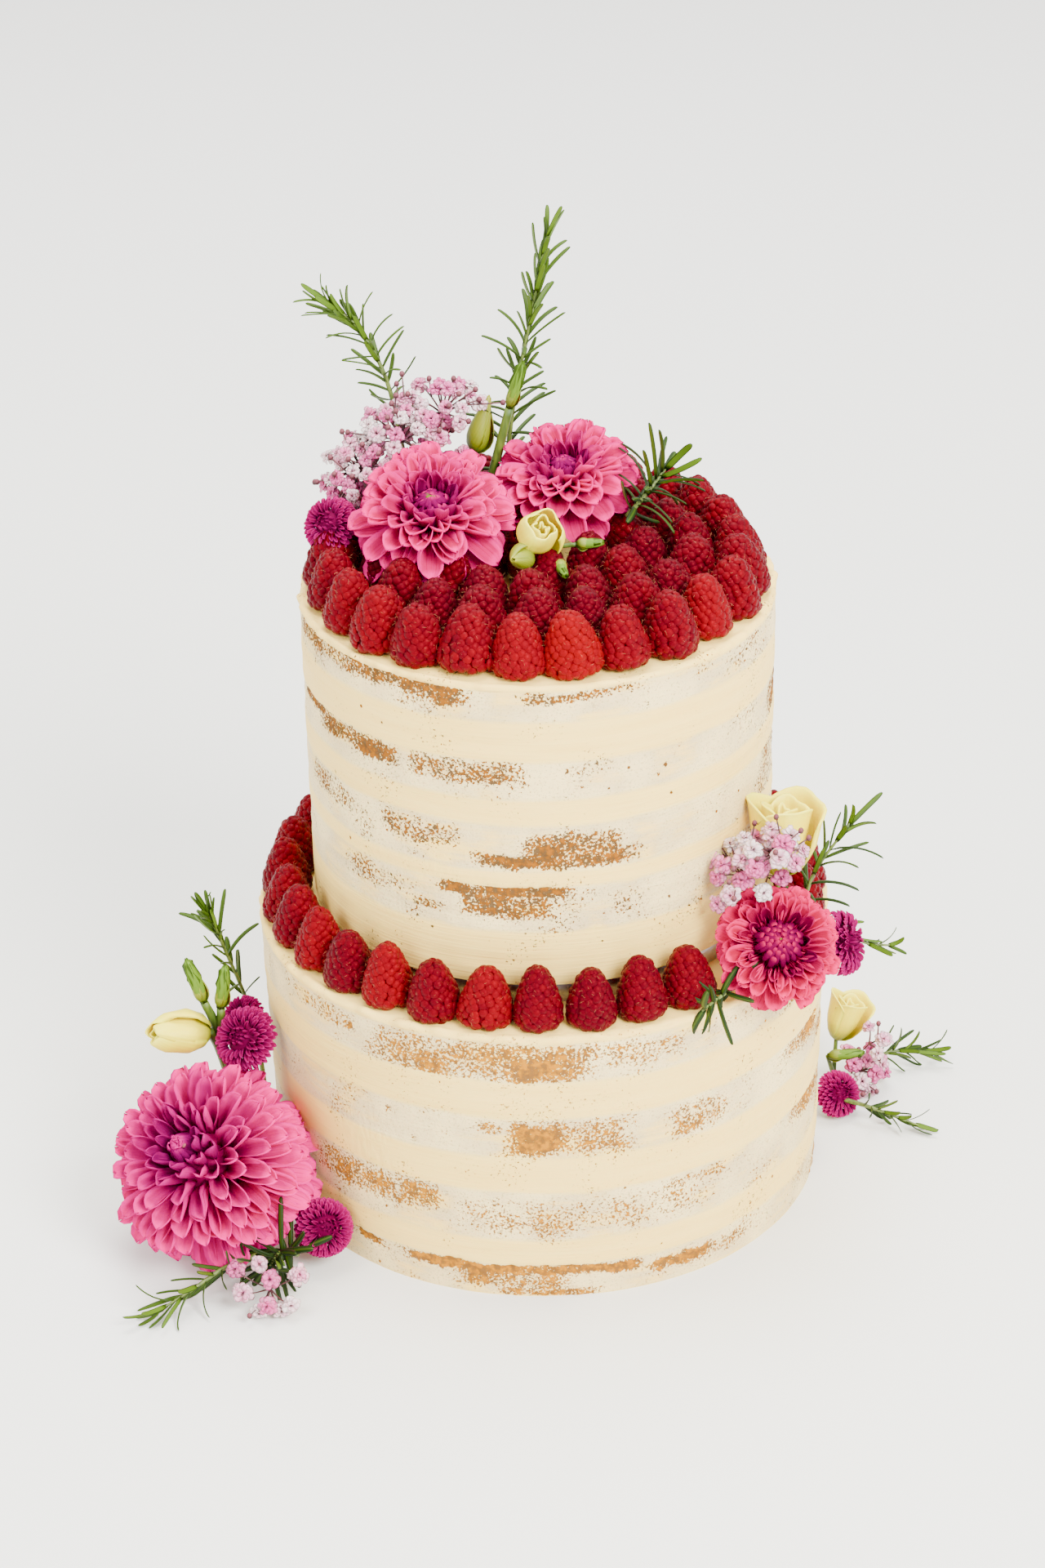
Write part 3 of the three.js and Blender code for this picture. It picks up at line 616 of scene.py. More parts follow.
# %% The buttercream material
def coat_height(tree, place, unrolled, sponge, crumbs):
    """Ridges along the scraper's path, soft dabs, grain over sponge, and sunk crumbs."""
    ridges = times(tree, noise(tree, stretch(tree, unrolled, (30, 900, 1)), 1.0, detail=3.0), 0.45)
    dabbed = between(tree, noise(tree, place, 11.0, detail=1.0), 0.5, 0.66, 0.0, 0.8)
    dabs = times(tree, noise(tree, stretch(tree, place, (420, 420, 150)), 1.0), dabbed)
    grain = times(tree, noise(tree, place, 700.0, detail=3.0), times(tree, sponge, 0.5))
    raised = plus(tree, plus(tree, ridges, dabs), grain)
    return maths(tree, "SUBTRACT", raised, times(tree, crumbs, 0.8))


def buttercream():
    material, tree, shader = new_material("scraped buttercream", Subsurface_Weight=0.12,
                                          Subsurface_Scale=0.002, Specular_IOR_Level=0.25)
    where = add(tree, "ShaderNodeTexCoord")
    place, unrolled = where.outputs["Object"], where.outputs["UV"]
    sponge, bare = attribute(tree, "sponge"), attribute(tree, "bare")
    crumbs, tint = crumb_mask(tree, place, sponge, bare), noise(tree, place, 420.0)
    shown = times(tree, crumbs, between(tree, tint, 0.3, 0.6, 0.92, 1.0))
    coat = coat_colour(tree, place, unrolled, sponge, bare)
    height = coat_height(tree, place, unrolled, sponge, crumbs)
    feed(shader, Base_Color=mixed(tree, shown, coat, crumb_colour(tree, place, tint)),
         Roughness=between(tree, crumbs, 0.0, 1.0, 0.52, 0.95), Normal=bump(tree, height, 0.8, 0.8 * mm))
    return material


coat_finish = buttercream()
for tier in (lower, upper):
    for layer, low, high in tier["layers"]:
        make_layer(tier, layer, low, high, coat_finish)

# %% [markdown]
# ## The silver card
#
# A thin foil-covered board carries the upper tier. Only its edge shows, between the berries. It is round,
# so a few pairs of radius and height are turned round the upright axis, as on a lathe.

# %% The silver card
FOIL = colour("a9a7ad"), colour("c9c7cc")
CARD_EDGE = 0.6 * mm


def silver_foil():
    material, tree, shader = new_material("silver foil", Metallic=1.0)
    creased = noise(tree, own_place(tree), 260.0)
    feed(shader, Base_Color=mixed(tree, creased, *FOIL),
         Roughness=between(tree, creased, 0.2, 0.8, 0.25, 0.5), Normal=bump(tree, creased, 0.2, 0.2 * mm))
    return material


def turned_piece(name, rows, around, centre=(0, 0, 0)):
    """A closed piece turned round Z from rows of (radius, height), which start and end on the axis."""
    inner = rows[1:-1]
    angles = np.linspace(0, 2 * math.pi, around, endpoint=False)
    points = [[r * math.cos(a), r * math.sin(a), z] for r, z in inner for a in angles]
    points += [[0, 0, rows[0][1]], [0, 0, rows[-1][1]]]
    return new_mesh(name, np.array(points) + np.array(centre), closed_rings(len(inner), around))


card_low, card_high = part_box("tier_card")
card_radius = (card_high.x - card_low.x) / 2
card_rows = [(0, card_low.z), (card_radius - CARD_EDGE, card_low.z), (card_radius, card_low.z + CARD_EDGE),
             (card_radius, card_high.z - CARD_EDGE), (card_radius - CARD_EDGE, card_high.z), (0, card_high.z)]
card_mesh = turned_piece("silver_card", card_rows, 160, (0, upper["set_back"], 0))
keep(place_in_scene("silver_card", card_mesh, silver_foil()), "card", "tier_card")

# %% [markdown]
# ## One way to set out many copies
#
# Drupelets, petals, florets, leaves and blossoms are all small shapes repeated by a rule. The rule gives
# each copy a place, a turn, a size, which shape to pick and a tone. One Geometry Nodes graph then sets the
# copies out and joins them into a real mesh, which is far quicker than an object for every petal.

# %% The graph that sets copies out
def copies_graph():
    tree = bpy.data.node_groups.new("set out copies", "GeometryNodeTree")
    face = tree.interface
    face.new_socket("Points", in_out="INPUT", socket_type="NodeSocketGeometry")
    face.new_socket("Shapes", in_out="INPUT", socket_type="NodeSocketCollection")
    face.new_socket("Material", in_out="INPUT", socket_type="NodeSocketMaterial")
    face.new_socket("Geometry", in_out="OUTPUT", socket_type="NodeSocketGeometry")
    start = tree.nodes.new("NodeGroupInput").outputs
    end = tree.nodes.new("NodeGroupOutput")

    def named(name, kind):
        node = add(tree, "GeometryNodeInputNamedAttribute", {"Name": name}, data_type=kind)
        return node.outputs["Attribute"]

    shapes = add(tree, "GeometryNodeCollectionInfo", {"Collection": start["Shapes"],
                 "Separate Children": True, "Reset Children": True}).outputs[0]
    inputs = {"Points": start["Points"], "Instance": shapes, "Pick Instance": True,
              "Instance Index": named("pick", "INT"), "Rotation": named("turn", "FLOAT_VECTOR"),
              "Scale": named("size", "FLOAT_VECTOR")}
    copies = add(tree, "GeometryNodeInstanceOnPoints", inputs).outputs["Instances"]
    joined = add(tree, "GeometryNodeRealizeInstances", {"Geometry": copies}).outputs["Geometry"]
    dressed = add(tree, "GeometryNodeSetMaterial", {"Geometry": joined, "Material": start["Material"]})
    tree.links.new(dressed.outputs["Geometry"], end.inputs["Geometry"])
    return tree


COPIES = copies_graph()
SOCKETS = {item.name: item.identifier for item in COPIES.interface.items_tree if item.in_out == "INPUT"}
print("the graph has inputs", list(SOCKETS))

# %% Setting copies out
def set_out(name, shapes, copies, material):
    """Joins copies of the shapes. Each copy is (place, 3 x 3 turn, size, which shape, tone)."""
    group = bpy.data.collections.new(name + " shapes")
    for number, shape in enumerate(shapes):
        group.objects.link(bpy.data.objects.new(f"{name} {number:02d}", shape))
    places, turns, sizes, picks, tones = zip(*copies)
    points = bpy.data.meshes.new(name + " points")
    points.from_pydata([tuple(p) for p in places], [], [])
    give(points, "turn", [tuple(Matrix(t).to_euler()) for t in turns], "FLOAT_VECTOR")
    give(points, "size", [tuple(np.broadcast_to(s, 3)) for s in sizes], "FLOAT_VECTOR")
    give(points, "pick", picks, "INT")
    give(points, "tone", tones)
    holder = bpy.data.objects.new(name, points)
    bpy.context.scene.collection.objects.link(holder)
    modifier = holder.modifiers.new("copies", "NODES")
    modifier.node_group = COPIES
    modifier[SOCKETS["Shapes"]] = group
    modifier[SOCKETS["Material"]] = material
    seen = holder.evaluated_get(bpy.context.evaluated_depsgraph_get())
    mesh = bpy.data.meshes.new_from_object(seen)
    bpy.data.objects.remove(holder)
    mesh.name = name
    return place_in_scene(name, mesh)


print("copies can be set out")

# %% [markdown]
# ## Frames, tubes and blades
#
# Three small tools make nearly every plant part. A frame says which way a part points. A tube is a stem
# with caps. A blade is a thin closed sheet, such as a petal or a leaf, given by a rule for its middle
# surface: how far along it a point is, from 0 to 1, and how far across, from -1 to 1.

# %% Frames and soft paths
def unit(vector):
    vector = np.asarray(vector, dtype=float)
    return vector / np.linalg.norm(vector)


def frame_facing(facing, spin=0.0):
    """Columns X, Y, Z with Z along the facing, turned round it by a spin in radians."""
    z = unit(facing)
    side = np.array([0, 1, 0]) if abs(z[1]) < 0.9 else np.array([1, 0, 0])
    x = unit(np.cross(side, z))
    y = np.cross(z, x)
    c, s = math.cos(spin), math.sin(spin)
    return np.stack([c * x + s * y, c * y - s * x, z], axis=1)


def smooth_path(corners, steps):
    """Points along a soft curve through a few corners."""
    corners = np.asarray(corners, dtype=float)
    padded = np.concatenate([[2 * corners[0] - corners[1]], corners, [2 * corners[-1] - corners[-2]]])
    path = []
    for i in range(len(corners) - 1):
        a, b, c, d = padded[i:i + 4]
        for t in np.linspace(0, 1, steps, endpoint=False):
            path.append(0.5 * (2 * b + (c - a) * t + (2 * a - 5 * b + 4 * c - d) * t * t
                               + (3 * b - a - 3 * c + d) * t ** 3))
    return np.array(path + [corners[-1]])


print("from one corner to the next a path may have", len(smooth_path([(0, 0, 0), (0, 0, 1)], 6)), "points")

# %% Tubes
def tube_parts(path, radii, sides):
    """A capped tube along a path, as vertices, faces and each vertex's share of the way along."""
    path = np.asarray(path, dtype=float)
    radii = np.interp(np.linspace(0, 1, len(path)), np.linspace(0, 1, len(radii)), radii)
    ahead = np.gradient(path, axis=0)
    vertices = []
    x = frame_facing(ahead[0])[:, 0]
    for point, direction, radius in zip(path, ahead, radii):
        z = unit(direction)
        x = unit(x - z * (x @ z))
        y = np.cross(z, x)
        angles = np.linspace(0, 2 * math.pi, sides, endpoint=False)
        vertices.extend(point + radius * (math.cos(a) * x + math.sin(a) * y) for a in angles)
    faces = ring_grid(len(path), sides).tolist()
    last = (len(path) - 1) * sides
    faces.append(list(range(sides - 1, -1, -1)))
    faces.append([last + k for k in range(sides)])
    along = np.repeat(np.linspace(0, 1, len(path)), sides)
    return np.array(vertices), faces, along


def join_parts(name, parts):
    """One mesh from several (vertices, faces, along) parts."""
    vertices, faces, along = [], [], []
    start = 0
    for v, f, a in parts:
        vertices.append(v)
        faces.extend([[start + i for i in face] for face in f])
        along.append(a)
        start += len(v)
    mesh = new_mesh(name, np.concatenate(vertices), faces)
    give(mesh, "along", np.concatenate(along))
    return mesh


print("tubes ready")

# %% Blades
def blade(name, surface, rows, columns, thickness):
    """A thin closed sheet round a middle surface, with soft edges."""
    towards_tip = 1 - np.linspace(1, 0, rows) ** 1.5
    v, u = np.meshgrid(towards_tip, np.linspace(-1, 1, columns), indexing="ij")
    middle = np.stack(surface(v, u), axis=-1)
    along_step = np.gradient(middle, axis=0)
    across_step = np.gradient(middle, axis=1)
    normal = np.cross(across_step, along_step)
    normal /= np.linalg.norm(normal, axis=-1, keepdims=True) + 1e-12
    inside = np.zeros((rows, columns), dtype=bool)
    inside[1:-1, 1:-1] = True
    half = np.where(inside, thickness / 2, 0)[..., None]
    front = (middle + normal * half).reshape(-1, 3)
    behind = (middle - normal * half)[1:-1, 1:-1].reshape(-1, 3)
    index = np.arange(rows * columns).reshape(rows, columns)
    back_index = index.copy()
    back_index[1:-1, 1:-1] = rows * columns + np.arange((rows - 2) * (columns - 2)).reshape(rows - 2, -1)
    faces = []
    for grid, turned_over in ((index, False), (back_index, True)):
        a, b, c, d = grid[:-1, :-1], grid[:-1, 1:], grid[1:, 1:], grid[1:, :-1]
        quads = np.stack([a, b, c, d], axis=-1).reshape(-1, 4)
        faces.extend((quads[:, ::-1] if turned_over else quads).tolist())
    mesh = new_mesh(name, np.concatenate([front, behind]), faces)
    give(mesh, "along", np.concatenate([v.ravel(), v[1:-1, 1:-1].ravel()]))
    give(mesh, "across", np.concatenate([u.ravel(), u[1:-1, 1:-1].ravel()]))
    give(mesh, "front", np.concatenate([np.where(inside, 1, 0.6).ravel(), np.zeros(len(behind))]))
    return mesh


print("blades ready")

# %% [markdown]
# ## Raspberries
#
# A raspberry is a hollow cone of little juicy drupelets, packed in a spiral, each with a fine dried hair.
# The spiral that packs most evenly turns by the golden angle from one drupelet to the next. A core,
# coloured darker as painted shade, closes the gaps between them. One good berry could be copied all round,
# but then all would look alike.
# Laid out by rule, every berry has its own size, shape and lean.

# %% The shapes that a raspberry is made of
GOLDEN = math.pi * (3 - math.sqrt(5))
# Radius and height from the foot to the tip, of a berry one unit wide and one unit high
BERRY_PROFILE = np.array([(0.42, 0.02), (0.49, 0.1), (0.5, 0.21), (0.465, 0.37), (0.4, 0.55), (0.325, 0.72),
                          (0.235, 0.87), (0.12, 0.97), (0.0, 1.0)])


def dome(name, sides=7, angles=(26, 52, 78, 104)):
    """A drupelet: a little dome with its rim tucked in."""
    points = [(0, 0, 1)]
    for row, turn in enumerate(np.radians(angles)):
        for k in range(sides):
            a = 2 * math.pi * (k + 0.5 * (row % 2)) / sides
            points.append((math.sin(turn) * math.cos(a), math.sin(turn) * math.sin(a), math.cos(turn)))
    faces = [(0, 1 + k, 1 + (k + 1) % sides) for k in range(sides)]
    for row in range(len(angles) - 1):
        low, high = 1 + row * sides, 1 + (row + 1) * sides
        faces += [(low + k, high + k, high + (k + 1) % sides, low + (k + 1) % sides) for k in range(sides)]
    last = 1 + (len(angles) - 1) * sides
    faces.append([last + k for k in range(sides)][::-1])
    mesh = new_mesh(name, points, faces)
    give(mesh, "along", [p[2] for p in points])
    return mesh


def berry_core():
    """The inside of a berry, a little smaller than the drupelets' middles, coloured darker as painted shade.
    """
    rows = [(0, 0.02)] + [(r * 0.92, 0.02 + z * 0.935) for r, z in BERRY_PROFILE[:-1]] + [(0, 0.96)]
    mesh = turned_piece("berry core", rows, 12)
    give(mesh, "along", [0.0] * len(mesh.vertices))
    return mesh


def hair(name, bend):
    """A fine curved hair, one unit long."""
    t = np.linspace(0, 1, 4)
    path = np.stack([bend * t ** 2, 0.35 * bend * np.sin(t * 5), t * (1 - 0.35 * abs(bend) * t)], axis=1)
    return join_parts(name, [tube_parts(path, (0.017, 0.016, 0.014, 0.007), 3)])


DRUPELETS = [dome("drupelet"), dome("wide drupelet", 7, (32, 60, 84, 104))]
HAIRS = [hair("hair", 0.35), hair("hair bent far", 0.8), hair("hair bent back", -0.5)]
print("a drupelet has", len(DRUPELETS[0].polygons), "faces")

# %% How one berry is laid out
# How far apart the drupelets stand, and how deep their middles lie under the skin
LUMP, SUNK = 2.95 * mm, 1.0 * mm
SAMPLES = 400


def along_profile(profile, count):
    """Places up a turned profile, from the foot to the tip, each with the same share of its skin."""
    corners, samples = np.arange(len(profile)), np.arange(SAMPLES)
    fine = np.stack([np.interp(np.linspace(0, len(profile) - 1, SAMPLES), corners, profile[:, k])
                     for k in (0, 1)], axis=1)
    steps = np.linalg.norm(np.diff(fine, axis=0), axis=1)
    skin = np.concatenate([[0], np.cumsum(steps * (fine[1:, 0] + fine[:-1, 0]) / 2)])
    share = (np.arange(count) + 0.5) / count
    place = np.interp(share, skin / skin[-1], samples)
    radius, height = (np.interp(place, samples, fine[:, k]) for k in (0, 1))
    slope = np.gradient(fine, axis=0)
    run, rise = (np.interp(place, samples, slope[:, k]) for k in (0, 1))
    return radius, height, run, rise


def berry_copies(foot, up, width, height, seed, tone, hidden):
    """The drupelets, core and hairs of one berry, as copies to set out. A hidden foot gets none."""
    random = np.random.default_rng(seed)
    profile = BERRY_PROFILE * [width, height]
    profile[:, 0] *= 1 + random.uniform(-0.04, 0.04)
    skin = math.pi * width * height * 0.78
    count = int(skin / (LUMP * LUMP * 0.9))
    radius, level, run, rise = along_profile(profile, count)
    turn = frame_facing(up, random.uniform(0, 2 * math.pi))
    oval = 1 + random.uniform(-0.05, 0.05)
    drupelets, hairs = [], []
    for i in range(count):
        if level[i] < hidden * height:
            continue
        a = GOLDEN * i + random.normal(0, 0.06)
        out = unit([rise[i] * math.cos(a), rise[i] * math.sin(a), -run[i]])
        inner = max(radius[i] - SUNK * out[:2] @ [math.cos(a), math.sin(a)], 0)
        place = np.array([inner * math.cos(a) * oval, inner * math.sin(a) / oval, level[i] - SUNK * out[2]])
        place += out * random.normal(0, 0.12 * mm)
        small = 0.84 if level[i] > 0.93 * height else 1.0
        size = small * LUMP * 0.72 * random.uniform(0.92, 1.07)
        facing = frame_facing(turn @ out, random.uniform(0, 6))
        spot = foot + turn @ place
        shade = tone + random.normal(0, 0.05)
        drupelets.append((spot, facing, (size, size, size * random.uniform(0.6, 0.7)), i % 2, shade))
        if random.random() < 0.5 and level[i] > 0.1 * height:
            astray = unit(out + [0, 0, 0.25] + random.normal(0, 0.35, 3))
            lean = frame_facing(turn @ astray, random.uniform(0, 6))
            tip = spot + facing[:, 2] * size * 0.5
            hairs.append((tip, lean, random.uniform(1.2, 2.1) * mm, int(random.integers(3)), shade))
    # The core's lower tone is painted shade in the gaps between the drupelets.
    core = (foot, turn, (width, width, height), 2, tone - 0.15)
    return drupelets + [core], hairs


tried, _ = berry_copies(np.zeros(3), [0, 0, 1], 21 * mm, 25 * mm, 0, 0.5, 0)
print("a whole berry has", len(tried) - 1, "drupelets")

# %% [markdown]
# The skin is deep crimson, mottled, a little see-through and softly glossy. Some berries are riper and
# darker, and a few are still scarlet. Down between the drupelets the colour darkens, as painted shade.
# The hairs are dry and brown, and paler at their tips.

# %% Raspberry skin and hairs
def berry_skin():
    material, tree, shader = new_material("raspberry skin", Subsurface_Weight=0.1, Subsurface_Scale=0.001,
                                          Specular_IOR_Level=0.3, Specular_Tint=(1, 0.04, 0.08, 1))
    place = own_place(tree)
    ripe = add(tree, "ShaderNodeValToRGB", {"Fac": attribute(tree, "tone")})
    stops = ripe.color_ramp.elements
    stops[0].color, stops[1].color = colour("30000c"), colour("740004")
    stops.new(0.35).color = colour("4a000c")
    stops.new(0.62).color = colour("68000a")
    mottled = noise(tree, place, 300.0)
    skin = mixed(tree, between(tree, mottled, 0.3, 0.75, 0.0, 0.3), ripe.outputs["Color"], colour("48000e"))
    # Painted shade: the colour darkens towards each drupelet's rim, down in the creases, and on the core.
    painted_crease_shade = between(tree, attribute(tree, "along"), -0.3, 0.7, 0.72, 1.0)
    feed(shader, Base_Color=mixed(tree, painted_crease_shade, colour("44000c"), skin),
         Roughness=between(tree, mottled, 0.3, 0.7, 0.38, 0.58),
         Normal=bump(tree, noise(tree, place, 1100.0), 0.18, 0.15 * mm))
    return material


def hair_material():
    material, tree, shader = new_material("berry hair", Roughness=0.6)
    feed(shader, Base_Color=mixed(tree, attribute(tree, "along"), colour("8c3420"), colour("d89c64")))
    return material


skin_of_berries, berry_hairs = berry_skin(), hair_material()
SHAPES_OF_BERRY = DRUPELETS + [berry_core()]
print("a berry's core has", len(SHAPES_OF_BERRY[-1].polygons), "faces")

# %% [markdown]
# Thirty berries stand round the ledge, and a bed of berries covers the top. The outer ring stands upright
# shoulder to shoulder, and the ones inside lean on each other and are coloured darker, as painted shade.
# They are kept out from under the blooms.

# %% Where the berries stand
# Radius, size and set-back in mm, and the first berry's angle in degrees
LEDGE = {"radius": 105.8, "set_back": 1.0, "count": 32, "first": -58.25, "width": 20.8, "height": 25.0}
LEDGE_GAPS = (30, 31)
BERRY_SEED = 40
SETTLED = 0.985
# Each ring on the top: radius, number of places, first angle
TOP_RINGS = [(81.2, 25, -81), (61.5, 18, -72), (42.0, 12, -60), (22.0, 6, -80), (0.0, 1, 0)]
# Where no berry stands: a middle in mm, and how far round it. The last one's tip would pierce a petal
UNDER_BLOOMS = [((-40, 2), 17), ((12, 30), 17), ((-17, -12), 3)]
# How ripe the front berries are, by their number round the ring: 0 is darkest, 1 is scarlet
LEDGE_TONES = {0: 0.38, 1: 0.35, 2: 0.3, 3: 0.36, 4: 0.58, 5: 0.4, 6: 0.64, 7: 0.32, 8: 0.56, 9: 0.42}
TOP_TONES = {0: 0.9, 24: 0.62, 23: 0.46, 22: 0.42, 21: 0.52, 20: 0.5, 1: 0.47, 2: 0.42, 3: 0.6, 4: 0.44}


def wander(number):
    return 1 + 0.035 * math.sin(number * 2.4)


def polar(radius, degrees, set_back):
    a = math.radians(degrees)
    return np.array([radius * math.cos(a), radius * math.sin(a) + set_back])


def ledge_berries():
    for slot in range(LEDGE["count"]):
        if slot in LEDGE_GAPS:
            continue
        degrees = LEDGE["first"] - slot * 360 / LEDGE["count"]
        x, y = polar(LEDGE["radius"], degrees, LEDGE["set_back"])
        inwards = -0.03 * np.array([x, y]) / LEDGE["radius"]
        yield (x, y), inwards, LEDGE["width"], LEDGE["height"] * wander(slot), LEDGE_TONES.get(slot, 0.46), 0


def top_berries():
    drawn = 0
    for ring, (radius, count, first) in enumerate(TOP_RINGS):
        for number in range(count):
            x, y = polar(radius, first + number * 360 / count, upper["set_back"] / mm)
            if any(math.dist((x, y), at) < reach for at, reach in UNDER_BLOOMS):
                continue
            drawn += 1
            inwards = -0.08 * np.array([x, y]) / max(radius, 1)
            # Berries inside the outer ring get darker tones, as painted shade among the berries.
            tone = TOP_TONES.get(number, 0.4) if ring == 0 else 0.2 + 0.2 * math.sin(drawn * 1.7) ** 2
            yield (x, y), inwards, 22.0 * wander(drawn), 24.8 * wander(drawn), tone, 0.3 * (ring > 0)


print("berries:", len(list(ledge_berries())), "round the ledge,", len(list(top_berries())), "on the top")

# %% The berries
def make_berries(name, rows, foot_level, lean_spread):
    """Berries in four pieces, one to a quarter, with a piece of hairs for each."""
    quarters = {f"{end}_{side}": [[], []] for end in ("front", "back") for side in ("left", "right")}
    for number, (at, inwards, width, height, tone, hidden) in enumerate(rows):
        random = np.random.default_rng(BERRY_SEED + number)
        foot = np.array([at[0], at[1], foot_level]) * mm
        up = unit([inwards[0], inwards[1], 1] + random.normal(0, lean_spread, 3) * [1, 1, 0])
        drupelets, hairs = berry_copies(foot, up, width * mm, height * mm * SETTLED, number, tone, hidden)
        quarter = quarters[("front" if at[1] < 0 else "back") + ("_left" if at[0] < 0 else "_right")]
        quarter[0].extend(drupelets)
        quarter[1].extend(hairs)
    for quarter, (drupelets, hairs) in quarters.items():
        keep(set_out(f"{name}_{quarter}", SHAPES_OF_BERRY, drupelets, skin_of_berries), "berry", name)
        keep(set_out(f"{name}_{quarter}_hairs", HAIRS, hairs, berry_hairs), "berry", name)


make_berries("ledge_berries", ledge_berries(), lower["top"] / mm + COAT / mm, 0.04)
make_berries("top_berries", top_berries(), upper["top"] / mm + COAT / mm, 0.07)

# %% [markdown]
# ## Dahlias
#
# A dahlia's petals grow in a spiral on a short dome, each a little scoop. The youngest stand closed over
# the heart, the next ones open as scoops, and the oldest lie flat or bend back. So one rule works for all of
# them: the further a petal is from the heart, the longer and flatter it is. Petals are pink with brighter
# rims and backs, and the deep crimson down inside the scoops is painted shade.

# %% The petal shapes
def scoop(length_bend, roll_base, roll_tip, point=0.5, waist=0.34, fold=0.05):
    """A petal one unit long and one wide. It rolls up at the edges and bends back along its length."""
    def surface(v, u):
        # From a narrow waist it widens to two thirds of the way, and its tip is round
        swell = waist + (1 - waist) * np.sin(np.clip(v / 0.66, 0, 1) * math.pi / 2) ** 1.2
        tip = np.clip((v - 0.6) / 0.4, 0, 1)
        round_off = np.sqrt(np.clip(1 - tip ** 3.2, 0.012, 1))
        half = 0.5 * swell * round_off
        roll = roll_base + (roll_tip - roll_base) * v ** 0.8
        angle = u * roll
        x = half * np.sin(angle) / roll
        lift = half * (1 - np.cos(angle)) / roll
        # A crease runs along its middle, its edges are wavy and its tip is notched
        crease = fold * half * np.cos(u * math.pi * 2) * np.sin(v * math.pi)
        reach = v * (1 - 0.06 * point * (u ** 2) * v)
        turn = length_bend * reach
        y = np.sin(turn) / length_bend
        z = -(1 - np.cos(turn)) / length_bend + 0.035 * np.abs(u) ** 3 * np.sin(11 * v + 4 * u)
        y -= 0.06 * np.exp(-(u / 0.2) ** 2) * v ** 6
        up_y, up_z = np.sin(turn), np.cos(turn)
        return x, y + (lift + crease) * up_y, z + (lift + crease) * up_z
    return surface


def flower_core(name):
    """A round body inside a flower, which the petals grow from."""
    mesh = dome(name, 12, (18, 40, 62, 84, 106, 128, 150, 168))
    give(mesh, "across", [0.0] * len(mesh.vertices))
    give(mesh, "front", [1.0] * len(mesh.vertices))
    mesh.attributes["along"].data.foreach_set("value", [0.0] * len(mesh.vertices))
    return mesh


PETALS = [
    blade("heart petal", scoop(-0.9, 1.5, 1.3, point=1.0), 6, 5, 0.05),
    blade("young petal", scoop(-0.25, 1.5, 1.15), 7, 7, 0.045),
    blade("open petal", scoop(0.35, 1.45, 0.75), 8, 7, 0.04),
    blade("open petal with a fold", scoop(0.55, 1.3, 0.9, fold=0.12), 8, 7, 0.04),
    blade("outer petal", scoop(0.7, 1.2, 0.5, fold=0.08), 8, 7, 0.035),
    flower_core("flower core"),
]
HEART_PETAL, YOUNG_PETAL, OPEN_PETAL, FOLDED_PETAL, OUTER_PETAL, FLOWER_CORE = range(6)
print("an outer petal has", len(PETALS[OUTER_PETAL].polygons), "faces")

# %% How a dahlia grows
HEART_PETALS = 44


def outwards(a):
    return np.array([math.cos(a), math.sin(a), 0])


def petal_frame(ahead, front):
    """Columns across a petal, along it and out of its face."""
    return np.stack([np.cross(ahead, front), ahead, front], axis=1)


def opened(out, tilt):
    """The frame of a petal that leans outwards, this far from upright, with its face to the heart."""
    ahead = out * math.sin(tilt) + [0, 0, math.cos(tilt)]
    front = np.array([0, 0, math.sin(tilt)]) - out * math.cos(tilt)
    return petal_frame(ahead, front)


def petal_copy(centre, turn, radius, a, row, pick, tone, random, loose=1.0):
    """One petal. The row of a plan gives its tilt, length, the rise of its foot, width and foot's radius."""
    tilt, length, rise, width, bottom = row
    tilt = math.radians(tilt + random.normal(0, 5.5) * loose)
    own = opened(outwards(a), tilt)
    own = own @ np.array(Matrix.Rotation(random.normal(0, 0.2) * loose, 3, "Y"))
    own = own @ np.array(Matrix.Rotation(random.normal(0, 0.07) * loose, 3, "Z"))
    place = centre + turn @ (outwards(a) * bottom + [0, 0, rise]) * radius
    length *= radius * random.uniform(0.87, 1.06)
    width *= radius * random.uniform(0.9, 1.1)
    return place, turn @ own, (width, length, 0.5 * (length + width)), pick, tone


def read_plan(plan, share):
    plan = np.array(plan)
    return [np.interp(share, plan[:, 0], plan[:, k]) for k in range(1, 6)]


def dahlia_copies(flower):
    """A bud of scales over the heart, then the open petals in a spiral from the heart outwards."""
    random = np.random.default_rng(flower["seed"])
    turn = frame_facing(flower["facing"], math.radians(flower["spin"]))
    radius, centre, form = flower["radius"] * mm, np.array(flower["centre"]) * mm, FORMS[flower["form"]]
    wide, tall, rise = form["core"]
    core_size = np.array([wide, wide, tall]) * radius
    copies = [(centre + turn[:, 2] * rise * radius, turn, core_size, FLOWER_CORE, 0.2)]
    for i in range(HEART_PETALS):
        share = math.sqrt((i + 0.5) / HEART_PETALS)
        row, tone = read_plan(form["heart"], share), 1.5 - 0.5 * share
        copies.append(petal_copy(centre, turn, radius, GOLDEN * i, row, HEART_PETAL, tone, random, 0.4))
    for i in range(flower["petals"]):
        share = ((i + 0.5) / flower["petals"]) ** 0.75
        row, pick = read_plan(form["plan"], share), OUTER_PETAL
        if share < 0.22:
            pick = YOUNG_PETAL
        elif share < 0.7:
            pick = (OPEN_PETAL, FOLDED_PETAL)[random.integers(2)]
        tone = 0.8 * (1 - share) + random.normal(0, 0.04)
        a = GOLDEN * i + random.normal(0, 0.07)
        copies.append(petal_copy(centre, turn, radius, a, row, pick, tone, random))
    return copies


print("every heart is a bud of", HEART_PETALS, "scales")

